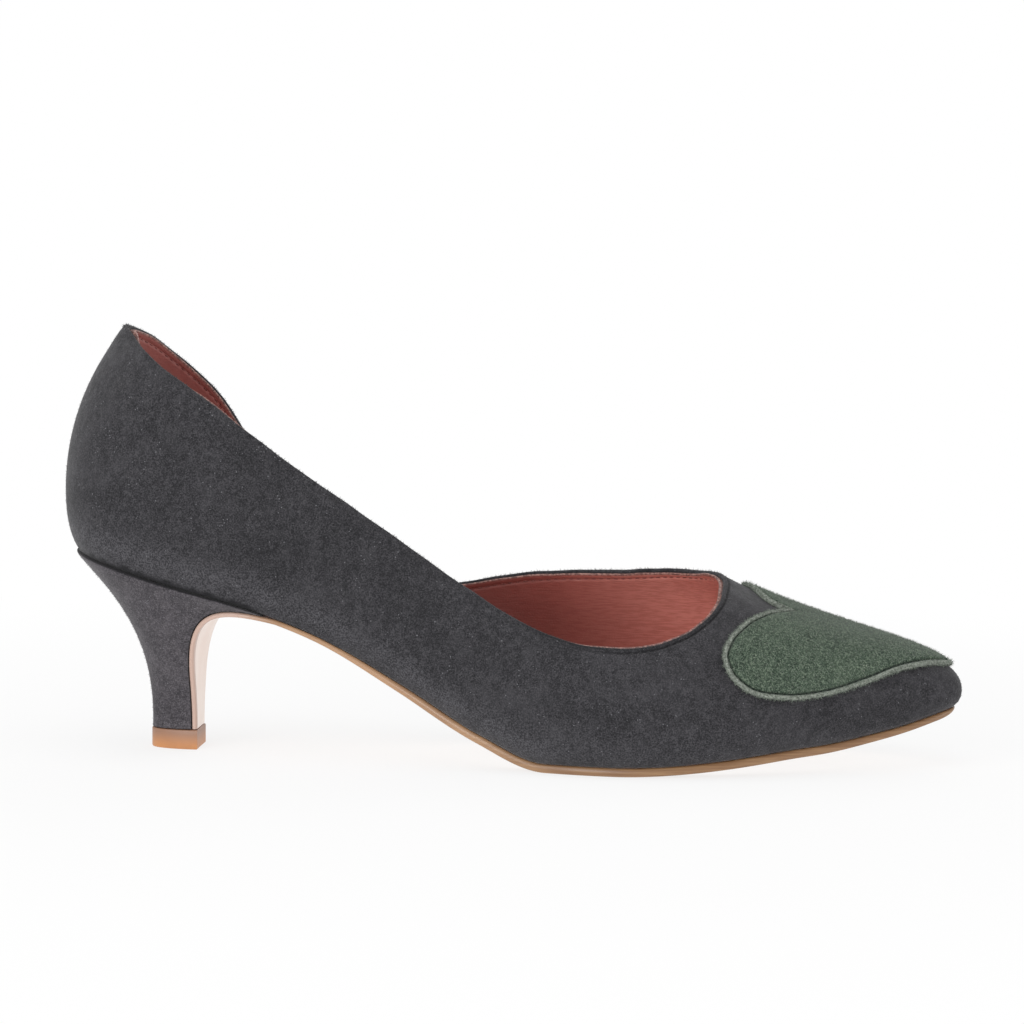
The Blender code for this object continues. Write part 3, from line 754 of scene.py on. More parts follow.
def makeUpper():
    below = rowsBelowRim(foldRadius, shell["fieldRows"], 0.0)
    u = np.broadcast_to(shellU, below.shape)
    face, normal, climb = surfaceFrame(u, levelsBelowRim(below))
    puff = shell["bandPuff"] * bell(below - shell["bandPuffIn"], shell["bandPuffWidth"])
    groove = grooveAt(below, shell["grooveIn"]) * grooveShare(u)
    seam = backSeam(u) * smooth(0.0, shell["seamFade"], below)
    lift = creaseDepth(face) + puff * grooveShare(u) - shell["grooveDepth"] * groove
    lift -= shell["seamDepth"] * seam
    wavy = bell(below - shell["collarWaveIn"], shell["collarWaveWidth"])
    lift += ripple(u, shell["collarWave"], (31, 0.2), (53, 0.6)) * wavy
    lift += backRoll(u) * bell(below, shell["backRollDown"])
    outer = face + normal * lift[..., None] + swayAt(below, climb, rimWave)

    halfRoll = backRoll(shellU)[:, None] / 2
    middle = topFace + topNormal * (halfRoll - foldRadius) + topClimb * (rimWave[:, None] - foldRadius)
    roll = rollOver(middle, foldRadius + halfRoll, foldRadius, shell["rollSteps"])

    innerBelow = rowsBelowRim(foldRadius, shell["innerRows"], 0.0)
    innerU = np.broadcast_to(shellU, innerBelow.shape)
    innerFace, innerNormal, innerClimb = surfaceFrame(innerU, levelsBelowRim(innerBelow))
    inner = innerFace - innerNormal * shell["suedeThickness"] + swayAt(innerBelow, innerClimb, rimWave)
    inner[-1] = feather(shellU) - outward(shellU) * shell["suedeThickness"]

    points = np.vstack([outer[::-1], roll, inner])
    faces = gridFaces(len(points), shell["columns"], closeRows=True)
    piece = newPiece("upperSuede", points, faces, [upperSuede])
    onOuter = slice(0, len(outer))
    onRoll = slice(len(outer), len(outer) + len(roll))

    wayUp = climbed[-1] - below
    toeward = face[..., 0]
    # painted shade along the seam between the upper and the heel cover, with a ragged top
    ragged = ripple(u, shell["raggedSeam"], (83, 0.3), (131, 0.6), (47, 0.1))
    heelSeamShade = 0.9 * smooth(*shell["heelSeamUp"], wayUp + ragged)
    heelSeamShade *= 1 - smooth(*shell["heelSeamEnds"], toeward)
    rimShade = 0.6 * inStretch("throatShade", shellU)
    belowRim = rimShade * smooth(*shell["rimShadeDown"], below)
    # painted shade in the topline groove, along the back seam and the heel seam, and under the rim at the
    # throat
    shade = np.zeros(points.shape[:2])
    shade[onOuter] = (groove + 0.7 * seam + heelSeamShade + belowRim)[::-1]
    shade[onRoll] = rimShade
    giveAttribute(piece, "groove", shade)

    # painted light: a paler band just above the sole, fading towards the toe
    band = bell(wayUp - shell["bounceLightUp"], shell["bounceLightWidth"])
    band *= 1 - 0.7 * smooth(*shell["bounceLightFade"], toeward) - 0.3 * smooth(*shell["bounceLightToe"], toeward)
    bounceLight = np.zeros(points.shape[:2])
    bounceLight[onOuter] = band[::-1]
    giveAttribute(piece, "bounceLight", bounceLight)

    fuzz = np.zeros(points.shape[:2])
    thick = shell["napField"] + (1 - shell["napField"]) * smooth(*shell["napRim"], below)
    fuzz[onOuter] = (thick * smooth(*shell["napFoot"], wayUp))[::-1]
    fuzz[len(outer) : len(outer) + len(roll) - 3] = 1.0
    giveAttribute(piece, "fuzz", fuzz)
    return rideOn(piece, "suede", "upper")


def liningShow():  # how far the lining's cut edge stands over the fold, which it does on the near side
    heelPart = inStretch("heelEdge", shellU) * (1 - 0.8 * inStretch("heelHidden", shellU))
    throatPart = inStretch("throatEdge", shellU)
    farHeel = inStretch("farHeelEdge", shellU)
    lean = (liningBack + liningRadius) * np.clip(topNormal[:, 2], 0.0, 0.6)
    return (heelPart + throatPart) * (shell["liningShow"] + lean) + farHeel * shell["liningDrop"]


def makeLining():
    start = shell["liningDrop"] + liningRadius
    below = rowsBelowRim(start, shell["liningRows"], shell["liningLowest"])
    u = np.broadcast_to(shellU, below.shape)
    face, normal, climb = surfaceFrame(u, levelsBelowRim(below))
    wave = rimWave + liningShow()
    sway = swayAt(below, climb, wave)
    pucker = ripple(u, shell["pucker"], (97, 0.3), (71, 0.8))
    pucker *= bell(below - shell["puckerIn"], shell["puckerWidth"])
    groove = shell["grooveDepth"] * 0.7 * grooveAt(below, shell["stitchIn"])
    inside = face - normal * (liningFront - groove + pucker)[..., None] + sway
    outside = face - normal * liningBack + sway
    middle = topFace - topNormal * (liningBack + liningRadius) + topClimb * (wave[:, None] - start)
    roll = rollOver(middle, liningRadius, liningRadius, shell["liningRollSteps"])
    points = np.vstack([outside[::-1], roll, inside])
    faces = gridFaces(len(points), shell["columns"], closeRows=True)
    piece = newPiece("lining", points, faces, [liningLeather])
    raw = np.ones(points.shape[:2])
    raw[: len(outside)] = smooth(*shell["rawBehind"], below)[::-1]
    raw[len(points) - len(inside) :] = smooth(*shell["rawInFront"], below)
    giveAttribute(piece, "rawEdge", raw)
    return rideOn(piece, "pink_leather")


upperPiece = makeUpper()
makeLining()
print("upper and lining made")

# Insole sock: reaches from wall to wall, with a soft crown and a lip where it meets the lining

sock = {
    "thickness": 0.0032,
    "crown": 0.0007,
    "crownIn": 0.010,
    "lip": 0.0005,
    "lipIn": 0.0025,
    "press": 0.0002,
    "underside": 0.0003,
    "underShare": 0.93,
    "searchTo": 0.6,
    "searchRows": 121,
    "stations": 180,
    "columns": 40,
}


def sideCurves(line, x):  # lateral and medial y and z of a closed line round the shoe, at each x
    tip = int(np.argmax(line[:, 0]))
    back = int(np.argmin(line[:, 0]))
    line = np.roll(line, -back, axis=0)
    tip = (tip - back) % len(line)
    lateral = line[: tip + 1]
    medial = np.vstack([line[tip:], line[:1]])[::-1]
    return [np.interp(x, side[:, 0], side[:, i]) for side in (lateral, medial) for i in (1, 2)]


def crowded(start, end, count, rounded="both"):  # closer together towards a rounded end
    t = np.linspace(0.0, 1.0, count)
    shares = {
        "both": (1 - np.cos(math.pi * t)) / 2,
        "start": 1 - np.cos(math.pi / 2 * t),
        "end": np.sin(math.pi / 2 * t),
    }
    return start + (end - start) * shares[rounded]


def makeSock():
    level = np.linspace(0.0, sock["searchTo"], sock["searchRows"])[:, None]
    face, normal, _ = surfaceFrame(np.broadcast_to(shellU, (len(level), len(shellU))), level * shellRow)
    wall = face - normal * (liningFront - sock["press"])
    height = wall[..., 2] - seatZ(wall[..., 0])
    edge = []
    for j in range(shell["columns"]):
        start = int(np.argmin(height[:, j]))
        edge.append([np.interp(sock["thickness"], height[start:, j], wall[start:, j, i]) for i in range(3)])
    edge = np.array(edge)
    x = crowded(edge[:, 0].min() + 1e-5, edge[:, 0].max() - 1e-5, sock["stations"])
    lateral, _, medial, _ = sideCurves(edge, x)
    width = (medial - lateral)[:, None]
    across = crowded(0.0, 1.0, sock["columns"])
    y = lateral[:, None] + width * across
    fromEdge = np.minimum(across, 1 - across) * width
    crown = sock["crown"] * smooth(0.0, sock["crownIn"], fromEdge)
    lip = sock["lip"] * (1 - smooth(0.0, sock["lipIn"], fromEdge))
    seat = seatZ(x)[:, None] + np.zeros_like(y)
    along = x[:, None] + np.zeros_like(y)
    top = np.stack([along, y, seat + sock["thickness"] + crown - lip], axis=-1)
    under = np.stack([along, y * sock["underShare"], seat + sock["underside"]], axis=-1)
    ring = np.concatenate([top, under[:, ::-1]], axis=1)
    faces = [face[::-1] for face in cappedFaces(*ring.shape[:2])]
    piece = newPiece("insoleSock", ring, faces, [sockLeather])
    return rideOn(piece, "pink_leather", "insole")


makeSock()

# Sole and heel share the line of the seat and the breast in side view

soleLook = {
    "flapThickness": 0.0014,
    "turnAlong": 0.28,
    "turnUp": 0.775,
    "cornerUp": 0.715,
    "bendEnd": 0.36,
    "sliverShare": 0.86,
    "narrowing": 1.2,
    "taper": 0.050,
    "liftThickness": 0.0055,
    "edgeRound": 0.0007,
    "roundShare": 0.6,
    "edgePoints": 9,
    "facePoints": 12,
    "roofPoints": 4,
    "toeShare": 0.76,
    "toeLength": 0.045,
    "tipShare": 0.12,
    "tipLength": 0.0050,
    "stations": 260,
    "bendStations": 60,
    "dropStations": 20,
}
heelLook = {
    "backTurn": (0.17, 0.845),
    "backCorner": (1.05, 0.690),
    "bowPower": 4,
    "dPower": 2.2,
    "columns": 60,
    "topShare": 0.06,
    "topRows": 22,
    "rows": 110,
    "rimProud": 0.0008,
    "rimRound": 0.0013,
    "rimFade": 0.0035,
    "seamDown": (0.0010, 0.0003),
}
featherU = np.linspace(0.0, 1.0, 1201)[:-1]
featherLine = feather(featherU)


def soleLine():
    tip = float(featherLine[:, 0].max())
    breastX = last["breastAt"]
    run = last["breastRun"]
    height = last["heelHeight"]
    x = crowded(breastX + run, tip, soleLook["stations"], "end")[::-1]
    level = np.stack([x, dipped(x) - last["clearance"]], axis=-1)
    turn = np.array([breastX + soleLook["turnAlong"] * run, soleLook["turnUp"] * height])
    corner = np.array([breastX, soleLook["cornerUp"] * height])
    end = np.array([breastX, soleLook["bendEnd"] * height])
    bend = bezier(level[-1], turn, corner, end, np.linspace(0.0, 1.0, soleLook["bendStations"])[1:])
    foot = soleLook["liftThickness"] + last["clearance"]
    drop = np.linspace(end[1], foot, soleLook["dropStations"])[1:]
    return level, np.vstack([level, bend, np.stack([np.full_like(drop, breastX), drop], axis=-1)])


def lineNormal(line):
    ahead = np.gradient(line, axis=0)
    return unit(np.stack([-ahead[:, 1], ahead[:, 0]], axis=-1))


def soleSides(level, line):
    lateral, _, medial, _ = sideCurves(featherLine, level[:, 0])
    lateral[0] = medial[0] = (lateral[0] + medial[0]) / 2
    way = wayAlong(line[len(level) - 1 :])
    share = way[1:] / way[-1]
    ease = (1 + np.cos(math.pi * share ** soleLook["narrowing"])) / 2
    half = last["stemWidth"] / 2
    lateralLow = -half + (lateral[-1] + half) * ease
    medialLow = half + (medial[-1] - half) * ease
    return np.concatenate([lateral, lateralLow]), np.concatenate([medial, medialLow])


def soleThickness(line):  # thin on the heel's breast, thinner again towards the tip of the toe
    waist = last["breastAt"] + last["breastRun"]
    blend = smooth(waist, waist + soleLook["taper"], line[:, 0])
    fromTip = line[0, 0] - line[:, 0]
    turned = np.sqrt(1 - (1 - np.clip(fromTip / soleLook["tipLength"], 0.0, 1.0)) ** 2)
    thickness = soleLook["flapThickness"] + (last["soleThickness"] - soleLook["flapThickness"]) * blend
    thickness *= 1 - (1 - soleLook["toeShare"]) * smooth(soleLook["toeLength"], 0.0, fromTip)
    return thickness * (soleLook["tipShare"] + (1 - soleLook["tipShare"]) * turned)


def makeSole():
    level, line = soleLine()
    lateral, medial = soleSides(level, line)
    thickness = soleThickness(line)
    under = lineNormal(line)
    under[-1] = (1.0, 0.0)
    turn = np.radians(np.linspace(-90, 90, soleLook["edgePoints"]))
    inwards = 1 - np.cos(turn)
    down = 0.5 + 0.5 * np.sin(turn)
    edgeRound = np.minimum(soleLook["edgeRound"], (medial - lateral) / 2 * soleLook["roundShare"])
    rings = []
    for k in range(len(line)):
        left = lateral[k] + edgeRound[k] * inwards
        right = medial[k] - edgeRound[k] * inwards[::-1]
        bottom = np.linspace(left[-1], right[0], soleLook["facePoints"] + 2)[1:-1]
        roof = np.linspace(right[-1], left[0], soleLook["roofPoints"] + 2)[1:-1]
        y = np.concatenate([left, bottom, right, roof])
        shares = np.concatenate([down, np.ones_like(bottom), down[::-1], np.zeros_like(roof)])
        depth = shares * thickness[k]
        x = line[k, 0] + under[k, 0] * depth
        z = line[k, 1] + under[k, 1] * depth
        rings.append(np.stack([x, y, z], axis=-1))
    rings = np.array(rings)
    edge = [0] * soleLook["edgePoints"]
    kinds = np.tile(edge + [1] * soleLook["facePoints"] + edge + [1] * soleLook["roofPoints"], len(rings) - 1)
    kinds = np.concatenate([kinds, [0, 0]])
    faces = cappedFaces(*rings.shape[:2])
    piece = newPiece("soleLeather", rings, faces, [soleEdge, soleFace], kinds, sharp=60)
    fixNormals(piece)
    return rideOn(piece, "sole_leather", "outsole")


makeSole()


def alongCurve(curve, shares):
    way = wayAlong(curve)
    return np.stack([np.interp(shares, way / way[-1], curve[:, i]) for i in range(2)], axis=-1)


def dWidth(s):
    return (1 - (1 - s) ** heelLook["dPower"]) ** (1 / heelLook["dPower"])


def makeHeel():
    level, line = soleLine()
    lateral, medial = soleSides(level, line)
    inside = line - lineNormal(line) * last["clearance"]
    inside[-1, 1] = line[-1, 1]
    sliverEnd = last["breastAt"] + soleLook["sliverShare"] * last["breastRun"]
    below = inside[:, 0] < sliverEnd
    breast = np.vstack([[sliverEnd, float(seatZ(sliverEnd)) - last["clearance"]], inside[below]])
    way = wayAlong(breast) / wayAlong(breast)[-1]
    topShares = np.linspace(0.0, heelLook["topShare"], heelLook["topRows"])
    shares = np.concatenate([topShares, np.linspace(heelLook["topShare"], 1.0, heelLook["rows"] + 1)[1:]])
    breast = alongCurve(breast, shares)
    left = np.interp(shares, way, np.concatenate([lateral[below][:1], lateral[below]]))
    right = np.interp(shares, way, np.concatenate([medial[below][:1], medial[below]]))

    backX = float(feather(0.0)[0])
    stemBack = last["breastAt"] - last["stemLength"]
    size = np.array([stemBack - backX, last["heelHeight"]])
    corner = np.array([backX, 0.0])
    back = bezier(
        np.array([backX, float(seatZ(backX)) - last["clearance"]]),
        corner + heelLook["backTurn"] * size,
        corner + heelLook["backCorner"] * size,
        np.array([stemBack, soleLook["liftThickness"] + last["clearance"]]),
        np.linspace(0.0, 1.0, 200),
    )
    back = alongCurve(back, shares)
    s = crowded(0.0, 1.0, heelLook["columns"], "start")
    seatX = backX + (sliverEnd - backX) * s
    seatLeft, _, seatRight, _ = sideCurves(featherLine, seatX)
    seatLeft[0] = seatRight[0] = 0.0
    bow = seatZ(seatX) - last["clearance"] - (back[0, 1] + (breast[0, 1] - back[0, 1]) * s)
    rings = []
    for k, share in enumerate(shares):
        blend = smooth(0.0, 1.0, share)
        x = back[k, 0] + (breast[k, 0] - back[k, 0]) * s
        z = back[k, 1] + (breast[k, 1] - back[k, 1]) * s + bow * (1 - share) ** heelLook["bowPower"]
        near, far = (
            np.stack([x, (seat / seat[-1] * (1 - blend) + dWidth(s) * blend) * reach[k], z], axis=-1)
            for seat, reach in ((seatLeft, left), (seatRight, right))
        )
        rings.append(np.vstack([near[::-1], far[1:]]))
    rings = np.array(rings)
    # The cover stands a little proud at the seat and rolls under the upper
    drop = wayAlong(rings)
    ahead = np.gradient(rings, axis=1)
    outwards = unit(np.stack([ahead[..., 1], -ahead[..., 0], np.zeros_like(drop)], axis=-1) + 1e-12)
    outwards *= -np.sign(outwards[0, heelLook["columns"] - 1, 0])
    proud = heelLook["rimProud"] * bell(drop, heelLook["rimFade"])
    share = np.clip(drop / heelLook["rimRound"], 0.0, 1.0)
    rolled = heelLook["rimRound"] * (1 - np.sqrt(1 - (1 - share) ** 2))
    rings += outwards * (proud - rolled)[..., None]
    rows, columns = rings.shape[:2]
    faces = gridFaces(rows, columns)
    for first in (0, (rows - 1) * columns):
        middle = first + heelLook["columns"] - 1
        faces.append((middle - 1, middle, middle + 1))
        for k in range(2, heelLook["columns"]):
            faces.append((middle - k, middle - k + 1, middle + k - 1, middle + k))
    piece = newPiece("heelCover", rings, faces, [heelSuede])
    # painted shade where the cover meets the upper
    giveAttribute(piece, "groove", 0.9 * smooth(*heelLook["seamDown"], drop))
    giveAttribute(piece, "fuzz", shell["napField"] * smooth(*shell["napFoot"], drop))
    fixNormals(piece)
    return rideOn(piece, "heel_suede", "heel")


heelPiece = makeHeel()

liftLook = {"edgeRound": 0.00045, "topRound": 0.0003, "levels": (0.0022, 0.0040), "columns": 48}


def makeLift():
    margin = last["liftMargin"]
    frontX = last["breastAt"] + soleLook["flapThickness"] + margin
    half = last["stemWidth"] / 2 + margin
    s = crowded(0.0, 1.0, liftLook["columns"], "start")
    x = liftBack + (frontX - liftBack) * s
    y = dWidth(s) * half
    near = np.stack([x, -y], axis=-1)
    far = np.stack([x, y], axis=-1)
    front = np.stack([np.full(9, frontX), np.linspace(half, -half, 11)[1:-1]], axis=-1)
    outline = np.vstack([near[::-1], far[1:], front])
    edge = liftLook["edgeRound"]
    rim = liftLook["topRound"]
    levels = [(0.0, edge)]
    for turn in np.radians((30, 60, 90)):
        levels.append((edge * (1 - math.cos(turn)), edge * (1 - math.sin(turn))))
    for z in liftLook["levels"]:
        levels.append((z, 0.0))
    for turn in np.radians((0, 45, 90)):
        levels.append((soleLook["liftThickness"] - rim * (1 - math.sin(turn)), rim * (1 - math.cos(turn))))
    centre = np.array([(liftBack + frontX) / 2, 0.0])
    away = outline - centre
    reach = np.linalg.norm(away, axis=1, keepdims=True)
    rings = []
    for z, inset in levels:
        rings.append(np.hstack([centre + away * (1 - inset / reach), np.full_like(reach, z)]))
    rings = np.array(rings)
    piece = newPiece("topLift", rings, cappedFaces(*rings.shape[:2]), [liftRubber], sharp=60)
    fixNormals(piece)
    return rideOn(piece, "lift_rubber", "top_lift")


makeLift()
print("sole, heel and top lift made")

# Heart: from its point at the toe by the lateral lobe to the cleft and back, as u and v of the upper's face

HeartPoint = namedtuple("HeartPoint", "around up")
lateralLobe = (
    HeartPoint(0.503, 0.345),
    HeartPoint(0.489, 0.398),
    HeartPoint(0.474, 0.413),
    HeartPoint(0.456, 0.388),
    HeartPoint(0.436, 0.360),
    HeartPoint(0.418, 0.390),
    HeartPoint(0.408, 0.500),
    HeartPoint(0.411, 0.660),
    HeartPoint(0.422, 0.795),
    HeartPoint(0.437, 0.866),
    HeartPoint(0.456, 0.892),
    HeartPoint(0.476, 0.880),
    HeartPoint(0.495, 0.836),
)
medialLobe = (
    HeartPoint(0.495, 0.836),
    HeartPoint(0.495, 0.875),
    HeartPoint(0.499, 0.905),
    HeartPoint(0.511, 0.921),
    HeartPoint(0.529, 0.910),
    HeartPoint(0.548, 0.862),
    HeartPoint(0.568, 0.765),
    HeartPoint(0.584, 0.625),
    HeartPoint(0.588, 0.490),
    HeartPoint(0.579, 0.375),
    HeartPoint(0.562, 0.352),
    HeartPoint(0.543, 0.386),
    HeartPoint(0.525, 0.409),
    HeartPoint(0.503, 0.345),
)
heart = {
    "middle": (0.496, 0.620),
    "sidePoints": 330,
    "stitchIn": 0.00138,
    "fillRings": 22,
    "lift": 0.00005,
    "fray": 0.00014,
    "pointTurn": (0.002, 0.010),
    "cleftTurn": (0.0005, 0.0040),
    "stitchUp": 0.00070,
    "inside": 0.02,
}
# How the cut edge, its pressed roll and the line of the thread run: way in from the edge, height
heartProfile = (
    (0.00030, 0.00000),
    (0.00008, 0.00020),
    (0.00000, 0.00050),
    (0.00002, 0.00085),
    (0.00011, 0.00118),
    (0.00031, 0.00142),
    (0.00057, 0.00150),
    (0.00083, 0.00143),
    (0.00108, 0.00118),
    (0.00126, 0.00084),
    (0.00138, 0.00070),
    (0.00149, 0.00082),
    (0.00166, 0.00116),
    (0.00189, 0.00142),
    (0.00230, 0.00152),
)


def smoothThrough(rows, count):
    rows = np.array(rows)
    knots = wayAlong(surface(rows[:, 0], rows[:, 1]))
    slopes = np.gradient(rows, knots, axis=0)
    at = np.linspace(0.0, knots[-1], count)
    return np.stack([hermite(knots, rows[:, i], slopes[:, i], at) for i in range(2)])


def heartRings():  # the cut edge as u and v, and the step inwards from it for each metre
    near = smoothThrough(lateralLobe, heart["sidePoints"])
    far = smoothThrough(medialLobe, heart["sidePoints"])
    edge = np.hstack([near[:, :-1], far[:, :-1]])
    towards = np.array(heart["middle"])[:, None] - edge
    step = 1e-3
    start, normal, _ = surfaceFrame(*edge)
    inwards = (surface(*(edge + towards * step)) - start) / step
    ahead = unit(np.roll(start, -1, axis=0) - np.roll(start, 1, axis=0))
    sideways = inwards - np.sum(inwards * ahead, axis=-1, keepdims=True) * ahead
    reach = np.maximum(np.linalg.norm(sideways, axis=-1), 0.5 * np.linalg.norm(inwards, axis=-1))
    square = np.cross(normal, ahead)
    square *= np.sign(np.median(np.sum(square * inwards, axis=-1)))
    alongU = (surface(edge[0] + step, edge[1]) - surface(edge[0] - step, edge[1])) / (2 * step)
    alongV = (surface(edge[0], edge[1] + step) - surface(edge[0], edge[1] - step)) / (2 * step)
    uu, uv, vv = (np.sum(a * b, axis=-1) for a, b in ((alongU, alongU), (alongU, alongV), (alongV, alongV)))
    su, sv = np.sum(square * alongU, axis=-1), np.sum(square * alongV, axis=-1)
    straight = np.stack([vv * su - uv * sv, uu * sv - uv * su]) / (uu * vv - uv**2)
    # Beside the point and the cleft the step turns towards the middle of the heart
    gaps = np.linalg.norm(np.roll(start, -1, axis=0) - start, axis=-1)
    way = np.concatenate([[0.0], np.cumsum(gaps)[:-1]])
    fromPoint = np.minimum(way, gaps.sum() - way)
    fromCleft = np.abs(way - way[heart["sidePoints"] - 1])
    share = smooth(*heart["pointTurn"], fromPoint) * smooth(*heart["cleftTurn"], fromCleft)
    return edge, towards / reach * (1 - share) + straight * share


heartEdge, heartInwards = heartRings()


def heartAt(way):  # u and v at a way in from the cut edge, in metres
    return heartEdge + heartInwards * way


def heartFill(way, share):  # from that way in towards the middle
    start = heartAt(way)
    return start + (np.array(heart["middle"])[:, None] - start) * share


def raised(uv, high):
    face, normal, _ = surfaceFrame(*uv)
    return face + normal * (heart["lift"] + high)


def makeHeart():
    count = heartEdge.shape[1]
    wobble = ripple(np.arange(count) / count, heart["fray"], (61, 0.2), (97, 0.5), (29, 0.8), (17, 0.4))
    lastWay, lastHigh = heartProfile[-1]
    under = [raised(heartFill(heartProfile[0][0], k / 4), 0.0) for k in range(4, 0, -1)]
    roll = [raised(heartAt(way + wobble * smooth(0.0015, 0.0003, way)), high) for way, high in heartProfile]
    shares = np.linspace(0.0, 1.0, heart["fillRings"] + 1)[1:]
    fill = [raised(heartFill(lastWay, share), lastHigh) for share in shares]
    rings = np.array(under + roll + fill)
    insets = np.full(rings.shape[:2], heart["inside"])
    insets[4 : 4 + len(roll)] = np.array(heartProfile)[:, :1]
    piece = newPiece("heartPatch", rings, gridFaces(*rings.shape[:2]), [heartSuede], sharp=70)
    giveAttribute(piece, "inset", insets)
    fuzz = 0.45 + 0.55 * smooth(0.0012, 0.0008, insets)
    fuzz *= 1 - 0.9 * smooth(0.0009, 0.0012, insets) * smooth(0.0021, 0.0017, insets)
    fuzz[:5] = 0.0
    giveAttribute(piece, "fuzz", fuzz)
    fixNormals(piece)
    return rideOn(piece, "green_suede", "heart_overlay")


heartPiece = makeHeart()
print("heart made")

# Geometry trees: each makes its result from one mesh, with sizes, seed and material as named inputs

def newTree(name, given, made):
    tree = bpy.data.node_groups.new(name, "GeometryNodeTree")
    for socketName, (kind, value) in given.items():
        socket = tree.interface.new_socket(socketName, in_out="INPUT", socket_type="NodeSocket" + kind)
        if value is not None:
            socket.default_value = value
    tree.interface.new_socket(made, in_out="OUTPUT", socket_type="NodeSocketGeometry")
    nodes = Nodes(tree)
    return nodes, nodes.node("NodeGroupInput").outputs


def copiesOn(nodes, spots, copied, turned, size):
    settings = {"Points": spots, "Instance": copied, "Rotation": turned, "Scale": size}
    laid = nodes.node("GeometryNodeInstanceOnPoints", settings)
    return nodes.node("GeometryNodeRealizeInstances", {0: laid.outputs[0]}).outputs[0]


def endTree(nodes, made, material):
    paint = nodes.node("GeometryNodeSetMaterial", {"Geometry": made, "Material": material})
    nodes.node("NodeGroupOutput", {0: paint.outputs[0]})
    return nodes.tree


def fromTree(name, mesh, tree, slotName, sizes):  # what a tree makes from a mesh, as a plain piece
    source = placed(name + "Source", mesh)
    modifier = source.modifiers.new(tree.name, "NODES")
    modifier.node_group = tree
    for item in tree.interface.items_tree:
        if item.item_type == "SOCKET" and item.in_out == "INPUT" and item.name in sizes:
            modifier[item.identifier] = sizes[item.name]
    bpy.context.view_layer.update()
    graph = bpy.context.evaluated_depsgraph_get()
    result = bpy.data.meshes.new_from_object(source.evaluated_get(graph))
    result.name = name
    bpy.data.objects.remove(source)
    return rideOn(placed(name, result), slotName)


# Thread: stitches along a path

def stitchTree():
    nodes, given = newTree("sewnLine", {
        "Path": ("Geometry", None),
        "Pitch": ("Float", 0.0022),
        "Stitch Length": ("Float", 0.0017),
        "Thread Width": ("Float", 0.0004),
        "Unevenness": ("Float", 0.12),
        "Seed": ("Int", 3),
        "Thread": ("Material", None),
    }, "Stitches")
    path = nodes.node("GeometryNodeMeshToCurve", {"Mesh": given["Path"]})
    settings = {"Curve": path.outputs[0], "Length": given["Pitch"]}
    spaced = nodes.node("GeometryNodeResampleCurve", settings, mode="LENGTH")
    ball = nodes.node("GeometryNodeMeshUVSphere", {"Segments": 6, "Rings": 5, "Radius": 0.5})
    width = given["Thread Width"]
    size = nodes.node("ShaderNodeCombineXYZ", {"X": given["Stitch Length"], "Y": width, "Z": width})
    stitch = nodes.node("GeometryNodeTransform", {"Geometry": ball.outputs["Mesh"], "Scale": size.outputs[0]})
    tangent = nodes.node("GeometryNodeInputTangent").outputs[0]
    along = nodes.node("FunctionNodeAlignRotationToVector", {"Vector": tangent}, axis="X")
    faceOut = nodes.node("GeometryNodeInputNamedAttribute", {"Name": "faceOut"}, data_type="FLOAT_VECTOR")
    settings = {"Rotation": along.outputs[0], "Vector": faceOut.outputs[0]}
    turned = nodes.node("FunctionNodeAlignRotationToVector", settings, axis="Z", pivot_axis="X")
    low = nodes.node("ShaderNodeMath", {0: 1.0, 1: given["Unevenness"]}, operation="SUBTRACT")
    settings = {2: low.outputs[0], 3: 1.0, "Seed": given["Seed"]}
    uneven = nodes.node("FunctionNodeRandomValue", settings, data_type="FLOAT")
    laid = copiesOn(nodes, spaced.outputs[0], stitch.outputs[0], turned.outputs[0], uneven.outputs[1])
    soft = nodes.node("GeometryNodeSetShadeSmooth", {0: laid})
    return endTree(nodes, soft.outputs[0], given["Thread"])


sewnLine = stitchTree()


def sew(name, points, normals, slotName, sizes):
    mesh = bpy.data.meshes.new(name)
    count = len(points)
    edges = [(i, (i + 1) % count) for i in range(count)]
    mesh.from_pydata((points + lastShift).tolist(), edges, [])
    out = mesh.attributes.new("faceOut", "FLOAT_VECTOR", "POINT")
    out.data.foreach_set("vector", np.asarray(normals, np.float32).ravel())
    return fromTree(name, mesh, sewnLine, slotName, sizes)


def sewnFrame(wayIn):
    face, normal, _ = surfaceFrame(shellU, levelsBelowRim(wayIn * shellRow[None])[0])
    return face, normal


def sewTopline():
    face, normal = sewnFrame(shell["grooveIn"])
    outside = face - normal * (shell["grooveDepth"] * grooveShare(shellU) + 0.00010)[:, None]
    sew("toplineThread", outside, normal, "suede", {"Thread Width": 0.00036, "Thread": greyThread})
    face, normal = sewnFrame(shell["stitchIn"])
    inside = face - normal * (liningFront - shell["grooveDepth"] * 0.55)
    sew("liningThread", inside, -normal, "pink_leather", {"Stitch Length": 0.0016, "Thread": pinkThread})


def sewHeart():
    face, normal, _ = surfaceFrame(*heartAt(heart["stitchIn"]))
    points = face + normal * (heart["lift"] + heart["stitchUp"])
    sew("heartThread", points, normal, "green_suede", {"Thread": greenThread})


sewTopline()
sewHeart()
print("thread sewn")

# Nap: short fibres, as thick on the ground as the piece's attribute says

